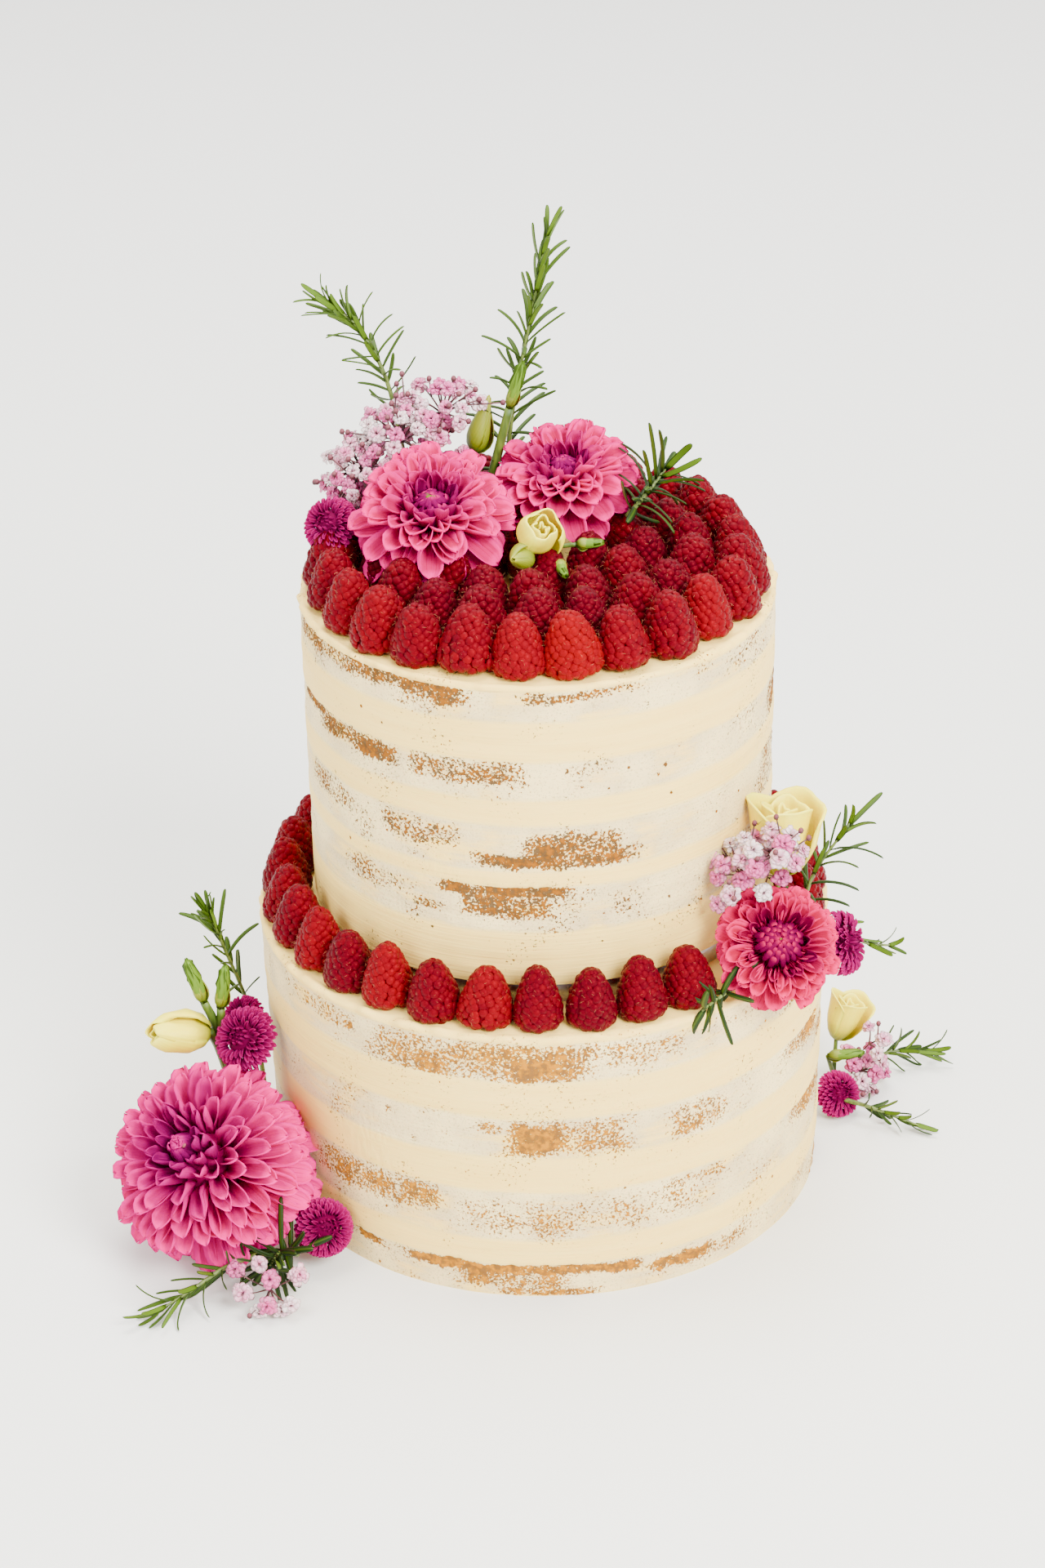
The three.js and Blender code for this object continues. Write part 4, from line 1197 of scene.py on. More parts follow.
# %% The dahlias' forms and places
# A core has its width, height and rise. Rows of a heart or a plan: share of the way out, tilt in degrees,
# length, rise of the foot, width, foot's radius. All lengths are shares of the flower's radius
FORMS = {
    "flat": {
        "core": (0.27, 0.24, -0.04),
        "heart": [(0.0, -72, 0.16, 0.27, 0.08, 0.07), (0.5, -46, 0.2, 0.21, 0.12, 0.18),
                  (1.0, -8, 0.27, 0.02, 0.17, 0.27)],
        "plan": [(0.0, 5, 0.36, -0.02, 0.2, 0.27), (0.2, 18, 0.44, -0.04, 0.26, 0.26),
                 (0.42, 38, 0.58, -0.06, 0.31, 0.24), (0.65, 58, 0.74, -0.09, 0.34, 0.2),
                 (0.85, 77, 0.85, -0.12, 0.36, 0.17), (1.0, 98, 0.88, -0.14, 0.36, 0.16)],
    },
    "wide heart": {
        "core": (0.27, 0.24, -0.04),
        "heart": [(0.0, -74, 0.25, 0.36, 0.09, 0.1), (0.5, -46, 0.32, 0.3, 0.13, 0.28),
                  (1.0, -6, 0.36, 0.06, 0.18, 0.4)],
        "plan": [(0.0, 22, 0.36, -0.02, 0.2, 0.4), (0.2, 38, 0.42, -0.04, 0.25, 0.38),
                 (0.42, 50, 0.54, -0.06, 0.28, 0.33), (0.65, 64, 0.68, -0.09, 0.33, 0.26),
                 (0.85, 80, 0.8, -0.12, 0.35, 0.2), (1.0, 98, 0.86, -0.14, 0.36, 0.16)],
    },
    "ball": {
        "core": (0.33, 0.42, 0.08),
        "heart": [(0.0, -60, 0.18, 0.6, 0.07, 0.04), (0.5, -34, 0.22, 0.55, 0.1, 0.1),
                  (1.0, -4, 0.28, 0.44, 0.14, 0.16)],
        "plan": [(0.0, 8, 0.34, 0.4, 0.13, 0.16), (0.2, 30, 0.44, 0.32, 0.18, 0.26),
                 (0.42, 54, 0.58, 0.18, 0.215, 0.3), (0.65, 78, 0.68, 0.03, 0.235, 0.3),
                 (0.85, 100, 0.72, -0.12, 0.24, 0.27), (1.0, 124, 0.72, -0.22, 0.24, 0.24)],
    },
}
DAHLIAS = {
    "dahlia_top_left": {"centre": (-40.5, -1, 293.5), "facing": (0, -0.43, 0.9), "radius": 34.5, "spin": 0,
                        "petals": 96, "form": "flat", "seed": 1, "colour": "pink"},
    "dahlia_top_right": {"centre": (12, 30, 294.5), "facing": (-0.14, -0.27, 0.95), "radius": 31.5,
                         "spin": 20, "petals": 92, "form": "flat", "seed": 2, "colour": "pink"},
    "dahlia_side": {"centre": (90.5, -85.5, 143.5), "facing": (0.05, -0.74, 0.67), "radius": 27, "spin": 10,
                    "petals": 88, "form": "wide heart", "seed": 3, "colour": "coral"},
    "dahlia_base": {"centre": (-136.5, -74, 40.5), "facing": (-0.42, -0.55, 0.72), "radius": 45, "spin": 5,
                    "petals": 185, "form": "ball", "seed": 4, "colour": "deep"},
}
print("open petals:", {name: flower["petals"] for name, flower in DAHLIAS.items()})

# %% Petal colours
HEART_GREEN = colour("5c6c10")


def stripes(tree, across, often):
    """Lines that run along a petal: 0 on a line, and 1 midway between two."""
    return maths(tree, "ABSOLUTE", maths(tree, "SINE", times(tree, across, often)))


def petal_material(name, inner, face, rim, back, heart, faded):
    """Deep colour down in the scoop as painted shade, another rim and back, a darker heart, and faded veined
    old petals.
    """
    material, tree, shader = new_material(name, Roughness=0.5, Subsurface_Weight=0.1, Subsurface_Scale=0.002,
                                          Specular_IOR_Level=0.04, Specular_Tint=(1, 0.2, 0.5, 1))
    inner, face, rim, back, heart = (colour(code) for code in (inner, face, rim, back, heart))
    along, across = attribute(tree, "along"), attribute(tree, "across")
    front, tone = attribute(tree, "front"), attribute(tree, "tone")
    cloudy = noise(tree, own_place(tree), 220.0, detail=3.0)
    # Painted shade: the inner colour fills the scoop towards the petal's foot.
    shallow = between(tree, plus(tree, along, times(tree, cloudy, 0.25)), 0.2, 0.85)
    veined = mixed(tree, between(tree, stripes(tree, across, 9.0), 0.0, 0.45), face, rim)
    old = between(tree, tone, 0.05, 0.4, faded, 0.0)
    inside = mixed(tree, old, mixed(tree, shallow, inner, face), veined)
    to_edge = maths(tree, "MAXIMUM", maths(tree, "ABSOLUTE", across), between(tree, along, 0.55, 1.0))
    edge = between(tree, plus(tree, to_edge, times(tree, cloudy, 0.3)), 0.7, 1.18)
    outside = mixed(tree, between(tree, stripes(tree, across, 14.0), 0.0, 0.6, 0.0, 0.25), back, face)
    petal = mixed(tree, front, outside, mixed(tree, edge, inside, rim))
    petal = mixed(tree, between(tree, tone, 0.38, 0.85, 0.0, 0.9), petal, heart)
    tips = times(tree, between(tree, tone, 0.9, 1.0), between(tree, along, 0.6, 1.0, 0.0, 0.6))
    petal = mixed(tree, tips, petal, back)
    ribs = maths(tree, "SINE", times(tree, across, 26.0))
    feed(shader, Base_Color=mixed(tree, between(tree, tone, 1.38, 1.44), petal, HEART_GREEN),
         Normal=bump(tree, plus(tree, ribs, cloudy), 0.25, 0.12 * mm))
    return material


# The first colour of each is painted shade down in the scoop.
PETAL_COLOURS = {
    "pink": petal_material("pink petals", "640026", "a80048", "e80480", "cc0068", "58003c", 0.3),
    "coral": petal_material("coral petals", "64001c", "a00034", "e00862", "c80450", "48002e", 0.3),
    "deep": petal_material("deep pink petals", "700034", "b40062", "ec0488", "dc0080", "640048", 0.8),
}

for name, flower in DAHLIAS.items():
    piece = set_out(name + "_petals", PETALS, dahlia_copies(flower), PETAL_COLOURS[flower["colour"]])
    keep(piece, "coralDahlia" if flower["colour"] == "coral" else "dahlia", name)

# %% [markdown]
# ## Poms
#
# The small purple flowers are buttons of many narrow florets, packed by the same golden-angle rule. The
# florets at the rim are longer and open like spoons, and those in the middle are short and still curled in.

# %% Pom florets
def spoon(bend, roll):
    def surface(v, u):
        half = 0.5 * (0.5 + 0.5 * np.sin(v * math.pi * 0.62)) * np.sqrt(np.clip(1 - v ** 4, 0.02, 1))
        angle = u * roll
        x, lift = half * np.sin(angle) / roll, half * (1 - np.cos(angle)) / roll
        turn = bend * v
        y, z = np.sin(turn) / abs(bend) * np.sign(bend), -(1 - np.cos(turn)) / bend
        return x, y + lift * np.sin(turn), z + lift * np.cos(turn)
    return surface


FLORETS = [blade("closed floret", spoon(-1.3, 1.3), 5, 5, 0.08),
           blade("open floret", spoon(0.6, 1.1), 6, 5, 0.06), flower_core("pom core")]
POM_FLORETS, POM_CORE, POM_SEED = 160, 2, 60
# Each: the flower's middle, facing and radius, and where its stem stands
POMS = {
    "pom_top_left": ((-80.5, 8, 285), (-0.5, -0.6, 0.6), 11, (-78, 12, 268.5)),
    "pom_side": ((118.3, -52, 124.5), (1, -0.3, 0.3), 12.5, (107, -40, 124)),
    "pom_base_upper": ((-122.5, -41.5, 79.4), (-0.5, -0.6, 0.6), 13, (-117, -32, 2)),
    "pom_base_behind": ((-125.5, -14, 72.5), (-0.6, -0.5, 0.6), 9.5, (-118.5, -16, 2)),
    "pom_base_lower": ((-92, -88, 18), (0.3, -0.8, 0.5), 11.5, (-100, -82, 8)),
    "pom_base_right": ((125, 16, 9.5), (0.5, -0.6, 0.5), 10, (128, 28, 4)),
}


def pom_copies(centre, facing, radius, seed):
    random = np.random.default_rng(seed)
    turn = frame_facing(facing, random.uniform(0, 6))
    copies = [(centre, turn, np.array([0.62, 0.62, 0.5]) * radius, POM_CORE, 0.4)]
    for i in range(POM_FLORETS):
        share = ((i + 0.5) / POM_FLORETS) ** 0.6
        out = outwards(GOLDEN * i)
        tilt = math.radians(6 + 92 * share + random.normal(0, 4))
        length = radius * (0.34 + 0.1 * share) * random.uniform(0.92, 1.08)
        reach = radius * 1.08 - length
        spread = np.clip(share * 1.5 + 0.25, 0, 1)
        foot = (out * math.sin(tilt) + [0, 0, 0.72 * math.cos(tilt)]) * reach * spread
        size = (radius * (0.13 + 0.13 * share), length, length)
        copies.append((centre + turn @ foot, turn @ opened(out, tilt), size, int(share > 0.35), 1 - share))
    return copies


# Its first colour is painted shade down in each floret's scoop.
pom_colour = petal_material("purple florets", "54002c", "800046", "a8106a", "9a0860", "4c0028", 0.3)
print(len(POMS), "poms of", POM_FLORETS, "florets")

# %% [markdown]
# ## Greens
#
# Rosemary leaves and sepals share one recipe, which is yellower on young growth and darker on old. A leaf
# is dark above, with a pale groove down the middle, and pale below. Stems are streaked along their length.

# %% Greens
def green_material(name, young, old, pale):
    material, tree, shader = new_material(name, Roughness=0.5, Specular_IOR_Level=0.2)
    young, old, pale = colour(young), colour(old), colour(pale)
    cloudy = noise(tree, own_place(tree), 160.0)
    age = plus(tree, attribute(tree, "tone"), times(tree, cloudy, 0.3))
    top = mixed(tree, between(tree, age, 0.2, 1.1), old, young)
    aside = maths(tree, "ABSOLUTE", attribute(tree, "across"))
    grooved = mixed(tree, between(tree, aside, 0.0, 0.4, 0.4, 0.0), top, pale)
    leaf = mixed(tree, between(tree, attribute(tree, "front"), 0.0, 0.5), pale, grooved)
    feed(shader, Base_Color=mixed(tree, between(tree, aside, 0.6, 1.0, 0.0, 0.55), leaf, old),
         Normal=bump(tree, cloudy, 0.2, 0.2 * mm))
    return material


def stem_material(name, light, dark):
    material, tree, shader = new_material(name, Roughness=0.55)
    streaks = noise(tree, stretch(tree, own_place(tree), (500, 500, 90)), 1.0)
    feed(shader, Base_Color=mixed(tree, between(tree, streaks, 0.3, 0.7), colour(dark), colour(light)),
         Normal=bump(tree, streaks, 0.3, 0.2 * mm))
    return material


rosemary_green = green_material("rosemary leaves", "445e06", "142804", "4c6812")
sepal_green = green_material("sepals", "5c7c0c", "2c4808", "5c7c1c")
green_stem = stem_material("green stems", "5e7420", "34500e")
woody_stem = stem_material("woody stems", "6c7c34", "46581e")
mauve_stem = stem_material("mauve stalks", "66383c", "3c2026")


def stem_piece(name, node, paths, material, slot, radii=(1.1, 0.9), sides=7):
    parts = [tube_parts(smooth_path(np.array(p) * mm, 6), np.array(radii) * mm, sides) for p in paths]
    keep(place_in_scene(name, join_parts(name, parts), material), slot, node)


for seed, (name, (centre, facing, radius, foot)) in enumerate(POMS.items()):
    centre, facing = np.array(centre), unit(facing)
    florets = pom_copies(centre * mm, facing, radius * mm, POM_SEED + seed)
    keep(set_out(name + "_florets", FLORETS, florets, pom_colour), "pom", name)
    stem_piece(name + "_stem", name, [[foot, centre - facing * radius * 0.35]], green_stem, "pom")

# %% [markdown]
# ## Rosemary
#
# Rosemary leaves are stiff needles in crossed pairs up a stem. They stand close to the stem at the tip and
# open out lower down. Needles strewn at random would look like a brush, so the pairs go up the stem by rule,
# and only their size, turn and opening vary. Each needle curves a little.

# %% Rosemary
def needle(bend):
    def surface(v, u):
        half = 0.5 * np.sqrt(1 - np.abs((v - 0.48) / 0.53) ** 5)
        angle = u * 1.1
        turn = bend * v
        y, z = np.sin(turn) / abs(bend) * np.sign(bend), -(1 - np.cos(turn)) / bend
        return half * np.sin(angle), y, z - 0.018 * u ** 2
    return surface


NEEDLES = [blade(f"needle {k}", needle(b), 9, 5, 0.03) for k, b in enumerate((0.5, 0.85, 0.2, -0.3))]
# Each: corners of the stem, number and length of needles, how far they open at the foot and at the tip in
# degrees, where they start on the stem, and how young they are
ROSEMARY = {
    "rosemary_top_tall": ([(-13, 60, 268.5), (-8, 54, 315), (-1, 51, 350), (7, 49, 389)],
                          56, 20, (66, 8), 0.1, 0.62),
    "rosemary_top_left": ([(-50, 58, 268.5), (-57, 59, 320), (-68, 60, 346), (-80, 60, 358)],
                          50, 18, (66, 8), 0.2, 0.76),
    "rosemary_top_right": ([(36, 12, 284), (44, 14, 293), (52, 20, 301)], 26, 22, (86, 35), 0.1, 0.25),
    "rosemary_side_up": ([(101, -50, 122.4), (106, -49, 152), (122, -45, 176)], 20, 21, (58, 16), 0.3, 0.45),
    "rosemary_side_star": ([(80, -80, 125), (70, -93, 127.5), (60, -104, 126)], 14, 18, (88, 60), 0.4, 0.2),
    "rosemary_side_low": ([(108, -33, 123.8), (118, -35, 123.6), (129, -37, 116), (141, -37, 114)],
                          12, 12, (48, 16), 0.3, 0.5),
    "rosemary_base_up": ([(-118, 0, 2), (-123, 2, 60), (-133, -8, 105), (-138, -11, 122)],
                         28, 18, (40, 8), 0.42, 0.6),
    "rosemary_base_low": ([(-118, -97, 12), (-131, -107, 13), (-145, -116, 8), (-158, -124, 4)],
                          24, 19, (66, 16), 0.1, 0.6),
    "rosemary_base_front": ([(-103, -92, 8), (-109, -100, 15), (-113, -108, 14)],
                            26, 21, (86, 45), 0.1, 0.15),
    "rosemary_base_right": ([(138, 48, 4), (152, 49, 10), (170, 53, 7)], 18, 16, (50, 14), 0.3, 0.4),
    "rosemary_base_right_low": ([(127, 13, 9), (137, 7, 9), (146, 3.5, 7), (159, -1, 3.5)],
                                16, 14, (46, 14), 0.25, 0.35),
}
ROSEMARY_SEED = 80
print(len(ROSEMARY), "sprigs of rosemary")

# %% Needles along a stem
def rosemary_copies(path, count, length, spread, start, young, width, seed):
    """Crossed pairs of needles from `start` of the way up the stem to its tip."""
    random = np.random.default_rng(seed)
    ahead = np.gradient(path, axis=0)
    copies = []
    for pair in range(count // 2):
        share = start + (1 - start) * (pair + 0.5) / (count // 2)
        at = share * (len(path) - 1)
        low = min(int(at), len(path) - 2)
        place = path[low] + (path[low + 1] - path[low]) * (at - low)
        turn = frame_facing(ahead[low], pair * 1.45 + random.normal(0, 0.3))
        for side in (1, -1):
            opening = math.radians(np.interp(share, (start, 1), spread) + random.normal(0, 8))
            direction = turn[:, 2] * math.cos(opening) + side * turn[:, 0] * math.sin(opening)
            front = turn[:, 2] * math.sin(opening) - side * turn[:, 0] * math.cos(opening)
            long = length * random.uniform(0.65, 1.1) * (1 - 0.15 * max(0, share - 0.75) / 0.25)
            size = (width * random.uniform(0.85, 1.1) * mm, long * mm, long * mm)
            tone = young * (0.4 + 0.6 * share) + random.normal(0, 0.08)
            pick = int(random.integers(len(NEEDLES)))
            copies.append((place, petal_frame(direction, front), size, pick, tone))
    return copies


for seed, (name, (corners, count, length, spread, start, young)) in enumerate(ROSEMARY.items()):
    path, width = smooth_path(np.array(corners) * mm, 8), 3.2 if young < 0.3 else 2.5
    leaves = rosemary_copies(path, count, length, spread, start, young, width, ROSEMARY_SEED + seed)
    keep(set_out(name + "_leaves", NEEDLES, leaves, rosemary_green), "rosemary", name)
    stem_piece(name + "_stem", name, [corners], woody_stem, "rosemary", radii=(1.2, 0.8, 0.45), sides=6)

# %% [markdown]
# ## Gypsophila
#
# Clouds of tiny double blossoms on hair-thin stalks. A stalk forks once or twice, and every fork ends in a
# blossom or a bud. The blossoms are white with a pink flush, and each has 28 little crumpled petals. Only
# the main forks are listed, and the golden angle spreads the blossoms round each of them.

# %% The blossom and its bud
def crumpled(bend):
    def surface(v, u):
        swell = 0.35 + 0.65 * np.sin(np.clip(v, 0, 1) * math.pi * 0.6)
        half = 0.5 * swell * (1 - 0.35 * np.clip(v - 0.8, 0, 1) / 0.2)
        turn = bend * v
        y, z = np.sin(turn) / bend, -(1 - np.cos(turn)) / bend
        return half * u, y, z + 0.12 * half * np.cos(u * 4.2) * v + 0.1 * u * u * v
    return surface


LITTLE_PETALS = [blade("little petal", crumpled(0.7), 4, 4, 0.06),
                 blade("little petal curled", crumpled(1.3), 4, 4, 0.06)]
BUD = dome("bud", 6, (30, 62, 95, 130))
give(BUD, "front", [1.0] * len(BUD.vertices))
BUD_SIZE = (1.15 * mm, 1.15 * mm, 1.35 * mm)
BLOSSOM_PETALS = 28


def blossom_copies(centre, facing, radius, random, tone):
    turn = frame_facing(facing, random.uniform(0, 6))
    foot = centre - turn[:, 2] * radius * 0.35
    copies = []
    for i in range(BLOSSOM_PETALS):
        share = ((i + 0.5) / BLOSSOM_PETALS) ** 0.6
        own = opened(outwards(GOLDEN * i), math.radians(8 + 80 * share + random.normal(0, 15)))
        length = radius * (0.62 + 0.38 * share)
        size = (length * 0.56, length * random.uniform(0.8, 1.1), length)
        copies.append((foot, turn @ own, size, i % 2, tone + 0.3 * (1 - share)))
    return copies


print("a little petal has", len(LITTLE_PETALS[0].polygons), "faces")

# %% How a bunch forks
LOWEST_BLOSSOM, LOWEST_BUD = 3.5, 2.5
GYPSOPHILA_SEED = 120
# Each bunch: where it stands, then its forks with their place, facing, spread, reach, number of blossoms,
# how much pinker they are, and their radius in mm. On the two low forks of the top bunch, by the dahlias,
# the pinker tone is painted shade.
GYPSOPHILA = {
    "gypsophila_top": ((-50, 42, 268.5), [((-68, 33, 297), (-0.6, -0.4, 0.6), 20, 13, 24, 0.0, 4.1),
                                          ((-52, 35, 309), (-0.2, -0.5, 0.8), 20, 15, 24, 0.0, 4.2),
                                          ((-36, 40, 318), (0.0, -0.4, 0.9), 18, 12, 18, 0.0, 4.1),
                                          ((-63, 30, 289), (-0.4, -0.7, 0.5), 16, 7, 12, 0.4, 4.0),
                                          ((-41, 34, 302), (0.1, -0.8, 0.5), 17, 7, 14, 0.5, 4.0)]),
    "gypsophila_side": ((84, -61, 122.4), [((78, -68, 165), (-0.3, -0.5, 0.8), 18, 13, 15, 0.0, 4.7),
                                           ((89, -73, 176), (0.1, -0.4, 0.9), 14, 10, 10, 0.0, 4.7)]),
    "gypsophila_base": ((-108, -96, 3), [((-113, -114, 7), (-0.1, -0.8, 0.3), 18, 15, 9, 0.0, 5.0)]),
    "gypsophila_base_right": ((133, 40, 2), [((136, 35, 9), (0.5, -0.6, 0.4), 14, 10, 12, 0.2, 4.6),
                                             ((140, 33, 24), (0.4, -0.4, 0.8), 10, 9, 4, 0.2, 4.1)]),
}


def gypsophila_plan(foot, forks, seed):
    """Stalk paths, blossom copies and bud places for one bunch."""
    random = np.random.default_rng(seed)
    foot = np.array(foot, dtype=float)
    stalks, blossoms, buds = [], [], []
    for at, facing, spread, reach, count, pink_and_shade, wide in forks:
        at, turn = np.array(at, dtype=float), frame_facing(facing)
        stalks.append((foot, (foot + at) / 2 + random.normal(0, 1.2, 3) * [1, 1, 0], at))
        for i in range(count):
            share = math.sqrt((i + 0.5) / count)
            a = GOLDEN * i + random.normal(0, 0.2)
            rise = reach * (1.0 - 0.75 * share * share) + random.normal(0, 1.2)
            tip = at + turn @ np.array([math.cos(a) * spread * share, math.sin(a) * spread * share, rise])
            tip[2] = max(tip[2], LOWEST_BLOSSOM)
            elbow = at + (tip - at) * 0.45 + turn[:, 2] * reach * 0.12
            stalks.append((at, elbow, tip))
            look = unit(turn[:, 2] + (tip - at) / np.linalg.norm(tip - at) * 0.9 + [0, -0.5, 0.2])
            radius = wide * random.uniform(0.85, 1.15) * mm
            blossoms += blossom_copies(tip * mm, look, radius, random, pink_and_shade + random.uniform(0, 0.8))
            if random.random() < 0.45:
                side = tip + turn @ (random.normal(0, 1, 3) * [3.5, 3.5, 1.5] + [0, 0, 3])
                side[2] = max(side[2], LOWEST_BUD)
                stalks.append((elbow, (elbow + side) / 2, side))
                buds.append(side)
    return stalks, blossoms, buds


print({name: sum(fork[4] for fork in forks) for name, (foot, forks) in GYPSOPHILA.items()}, "blossoms")

# %% The bunches
def petal_tint(name, pale, flush, deep):
    material, tree, shader = new_material(name, Roughness=0.6, Subsurface_Weight=0.12, Subsurface_Scale=0.001)
    cloudy = noise(tree, own_place(tree), 400.0)
    # The tone is the blossoms' real pink, and on the low forks by the dahlias also painted shade.
    pink_and_shade = plus(tree, attribute(tree, "tone"), times(tree, cloudy, 0.5))
    petal = mixed(tree, between(tree, pink_and_shade, 0.3, 1.1), colour(pale), colour(flush))
    foot = between(tree, attribute(tree, "along"), 0.0, 0.55, 0.75, 0.0)
    feed(shader, Base_Color=mixed(tree, foot, petal, colour(deep)), Normal=bump(tree, cloudy, 0.25, 0.1 * mm))
    return material


blossom_tint = petal_tint("gypsophila petals", "e0cccc", "c8508c", "741640")
bud_tint = petal_tint("gypsophila buds", "8c3c4c", "50202a", "3a161c")

for seed, (name, (foot, forks)) in enumerate(GYPSOPHILA.items()):
    stalks, blossoms, buds = gypsophila_plan(foot, forks, GYPSOPHILA_SEED + seed)
    keep(set_out(name + "_blossoms", LITTLE_PETALS, blossoms, blossom_tint), "gypsophila", name)
    bud_copies = [(bud * mm, np.eye(3), BUD_SIZE, 0, 0.5) for bud in buds]
    keep(set_out(name + "_buds", [BUD], bud_copies, bud_tint), "gypsophila", name)
    stem_piece(name + "_stalks", name, stalks, mauve_stem, "gypsophila", radii=(0.4, 0.28), sides=4)

# %% [markdown]
# ## Lisianthus
#
# A lisianthus flower is a spiral of broad, thin petals wrapped round each other, with soft wavy rims. A bud
# is the same spiral, still closed and pointed. Each petal here is a strip of a cup that opens towards its
# rim; the next one starts a third of a turn on and a little further in.

# %% Cups of wrapped petals
DRAWN_IN = 0.16
FROM_PETAL_TO_PETAL = 2.2


def wrap(profile, span, start, ruffle, seed, twist, lean):
    """One petal: part of a cup with this profile, wrapped round the axis and drawn in as it goes."""
    profile = np.array(profile)

    def surface(v, u):
        height = np.interp(v, profile[:, 0], profile[:, 2])
        radius = np.interp(v, profile[:, 0], profile[:, 1])
        edge = 1 - np.abs(u) ** 3 * 0.22 * v
        angle = start + u * span / 2 + twist * v
        spiral = 1 - DRAWN_IN * (u + 1) / 2
        calm = np.clip(1.2 - np.abs(u), 0, 1)
        wave = ruffle * np.clip(v - 0.45, 0, 1) * np.sin(u * 5.5 + seed * 2.1) * calm
        r = (radius + wave) * spiral
        return r * np.cos(angle) + lean * v ** 3, r * np.sin(angle), height * edge + wave * 0.5
    return surface


# How a cup opens: share of the way up, radius and height, for a flower one unit long and one unit wide
OPEN_CUP = [(0, 0.05, 0.0), (0.2, 0.26, 0.12), (0.45, 0.42, 0.42), (0.75, 0.47, 0.78), (0.92, 0.5, 0.94),
            (1, 0.53, 0.97)]
HALF_CUP = [(0, 0.05, 0.0), (0.2, 0.3, 0.1), (0.5, 0.48, 0.42), (0.8, 0.44, 0.78), (1, 0.34, 1.0)]
FURLED_CUP = [(0, 0.05, 0.0), (0.2, 0.36, 0.1), (0.5, 0.5, 0.4), (0.8, 0.41, 0.78), (1, 0.2, 1.0)]
CLOSED_CUP = [(0, 0.05, 0.0), (0.2, 0.42, 0.12), (0.42, 0.5, 0.32), (0.65, 0.36, 0.6), (0.85, 0.18, 0.84),
              (1, 0.07, 1.0)]


def cup_flower(name, profile, layers, span, ruffle, twist=0.0, lean=0.0):
    """The wrapped petals of one flower, from the outermost to the innermost."""
    petals = []
    for number in range(layers):
        inward, lower_rim = 1 - 0.135 * number, 1 - 0.015 * number
        scaled = [(v, r * inward, z * lower_rim) for v, r, z in profile]
        surface = wrap(scaled, span, number * FROM_PETAL_TO_PETAL, ruffle, number, twist, lean)
        petals.append(blade(f"{name} {number}", surface, 12, 13, 0.03))
    return petals


CUPS = {
    "open": cup_flower("open cup", OPEN_CUP, 7, 2.9, 0.09),
    "half": cup_flower("half cup", HALF_CUP, 7, 2.9, 0.1, twist=0.4),
    "furled": cup_flower("furled cup", FURLED_CUP, 5, 3.1, 0.05, twist=0.9, lean=0.05),
    "closed": cup_flower("closed cup", CLOSED_CUP, 4, 3.3, 0.0, twist=1.4, lean=0.12),
}
print("petals in a cup:", {opening: len(petals) for opening, petals in CUPS.items()})

# %% Where the lisianthus stands
SMALL_BUD = 9
# Each: slot, where it stands, then its heads with their place, facing, length, width, how open they are,
# and the bend of the stem on the way
LISIANTHUS = {
    "lisianthus_top_buds": ("bud", (-22, 47, 268.5), [
        ((-23.5, 45, 299), (0.22, 0, 1), 25, 12.5, "closed", None),
        ((-9.5, 41, 319.5), (0.3, 0, 1), 19, 7.5, "closed", (-14.5, 42, 300))]),
    "lisianthus_top_spray": ("lisianthus", (0, -8, 280), [
        ((-1.5, -12, 283.5), (0.3, -0.6, 0.8), 16, 22, "half", None),
        ((-3.5, -18, 282), (-0.4, -0.85, 0.1), 12.5, 12.5, "closed", None),
        ((15.5, -11.5, 283), (1, -0.1, 0.1), 10, 7, "closed", None),
        ((8, -20.5, 280), (0.3, -1, -0.2), 10, 7, "closed", None)]),
    "lisianthus_side": ("lisianthus", (90, -56, 122.4), [
        ((93, -54, 157), (0.05, 0.12, 1), 33, 33, "open", None)]),
    "lisianthus_base": ("lisianthus", (-122, -24, 2), [
        ((-138.5, -30.5, 77), (-0.8, -0.45, 0.2), 27, 21, "furled", (-134, -26, 60)),
        ((-140, -29, 90), (-0.3, 0, 1), 20, 8.8, "closed", (-135, -27, 72)),
        ((-133.5, -29, 87), (0.15, 0, 1), 19, 8.8, "closed", (-133.5, -27, 66))]),
    "lisianthus_base_right": ("lisianthus", (126, 44, 2), [
        ((127, 47, 18), (0.35, 0.1, 1), 22, 21.5, "open", None),
        ((122, 32, 19), (1, -0.1, 0.15), 15, 7.5, "closed", None)]),
}


def lisianthus_material(name, body, rim, base):
    material, tree, shader = new_material(name, Roughness=0.5, Subsurface_Weight=0.15, Subsurface_Scale=0.003)
    along, across = attribute(tree, "along"), attribute(tree, "across")
    cloudy = noise(tree, own_place(tree), 180.0, detail=3.0)
    above = between(tree, plus(tree, along, times(tree, cloudy, 0.3)), 0.25, 0.75)
    petal = mixed(tree, above, colour(base), colour(body))
    veins = maths(tree, "SINE", times(tree, across, 40.0))
    feed(shader, Base_Color=mixed(tree, between(tree, along, 0.8, 1.0), petal, colour(rim)),
         Normal=bump(tree, plus(tree, veins, cloudy), 0.2, 0.1 * mm))
    return material


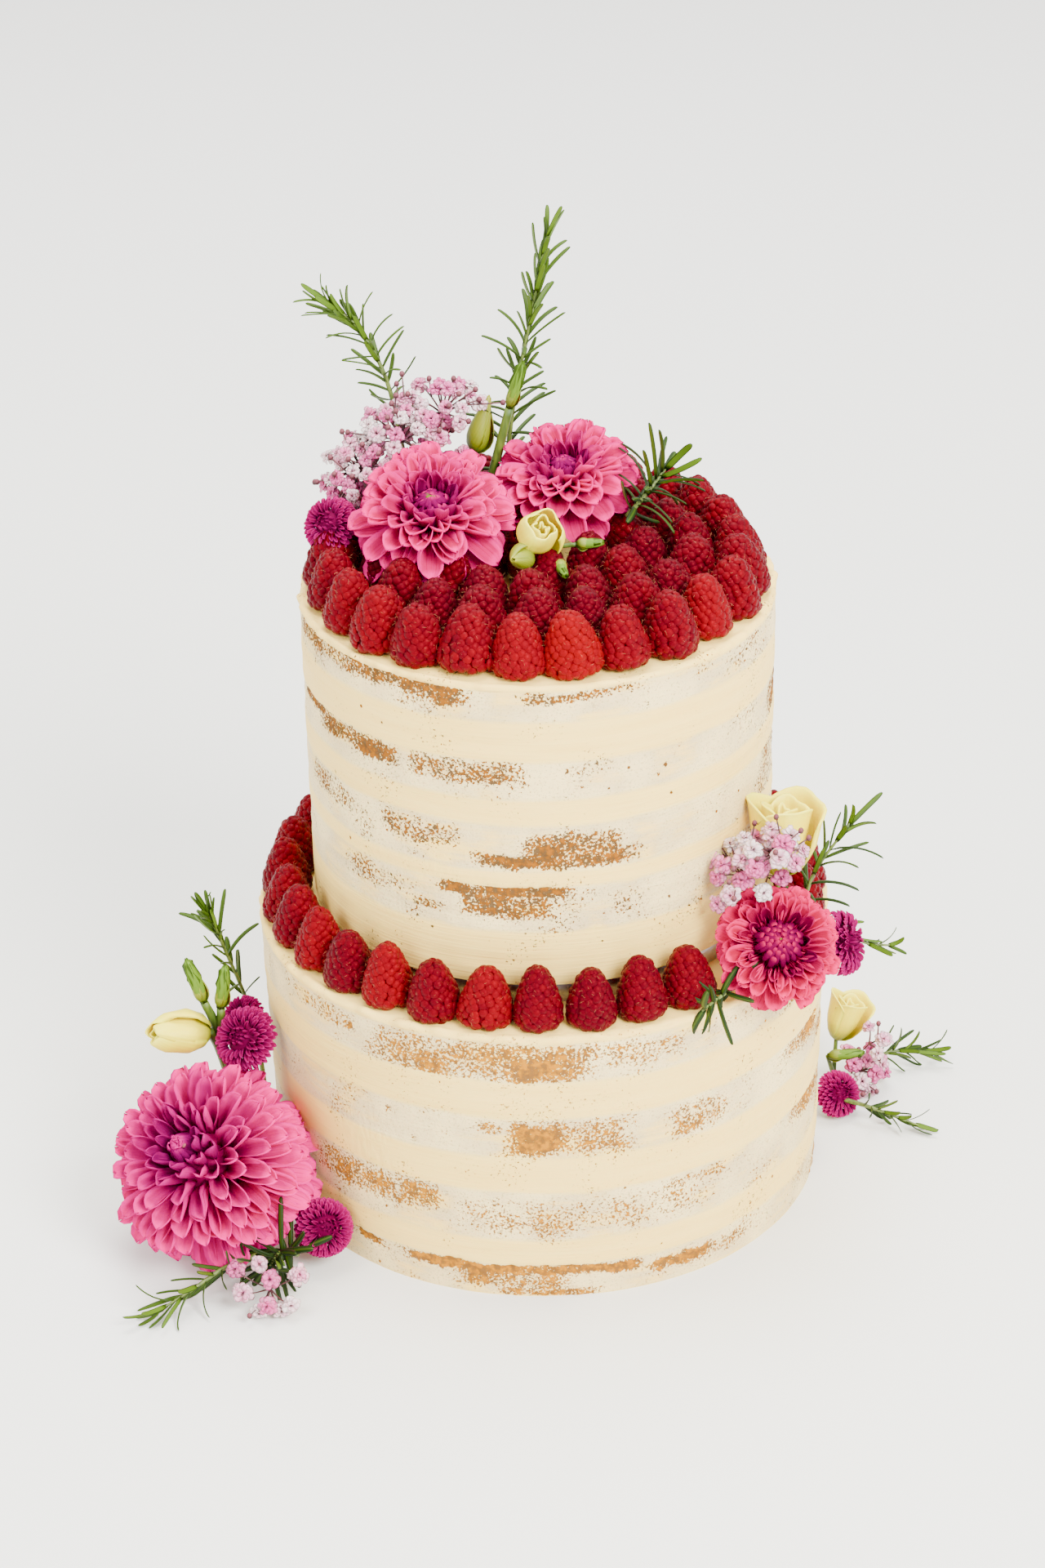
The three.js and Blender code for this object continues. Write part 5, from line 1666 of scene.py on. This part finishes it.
cream_yellow = lisianthus_material("lisianthus petals", "f0dc20", "f0e440", "848c10")
bud_yellow = lisianthus_material("bud petals", "7c8404", "8c900c", "4c5c08")
print(sum(len(heads) for slot, foot, heads in LISIANTHUS.values()), "flowers and buds")

# %% [markdown]
# Five narrow sepals hold each flower. They spread under an open one, and on a small bud they are longer
# than the bud itself.

# %% The lisianthus
SEPALS = 5
SEPAL = blade("sepal", scoop(-0.5, 0.9, 0.6, waist=0.5), 6, 5, 0.05)


def sepal_copies(at, turn, length, width, opening):
    small = width < SMALL_BUD
    spread = 0.75 if opening == "open" else 0.2 if small else 0.5
    reach = length * (1.12 if small else 0.5)
    for k in range(SEPALS):
        out = turn @ outwards(k * 2 * math.pi / SEPALS)
        ahead = unit(turn[:, 2] + out * spread)
        front = unit(turn[:, 2] * (ahead @ out) - out * (ahead @ turn[:, 2]))
        place = np.array(at) * mm + out * width * (0.2 if small else 0.06) * mm
        size = np.array([width * (0.6 if small else 0.26), reach, reach]) * mm
        yield place, petal_frame(ahead, front), size, 0, 0.5


for name, (slot, foot, heads) in LISIANTHUS.items():
    flowers, young, sepals, stems = [], [], [], []
    for at, facing, length, width, opening, via in heads:
        turn = frame_facing(facing, 0.7)
        size = np.array([width, width, length]) * (0.85 if width < SMALL_BUD else 1.0) * mm
        group = young if opening == "closed" else flowers
        group += [(cup, np.array(at) * mm, turn, size) for cup in CUPS[opening]]
        sepals += sepal_copies(at, turn, length, width, opening)
        stems.append([foot, via or (np.array(foot) * 0.45 + np.array(at) * 0.55), at])
    for suffix, group, finish in (("petals", flowers, cream_yellow), ("buds", young, bud_yellow)):
        if group:
            copies = [(place, turn, size, k, 0.5) for k, (cup, place, turn, size) in enumerate(group)]
            keep(set_out(f"{name}_{suffix}", [cup for cup, *_ in group], copies, finish), slot, name)
    keep(set_out(name + "_sepals", [SEPAL], sepals, sepal_green), slot, name)
    thick = 2.2 if any(via for *_, via in heads) else 1.1
    stem_piece(name + "_stem", name, stems, green_stem, slot, radii=(thick, thick * 0.8))
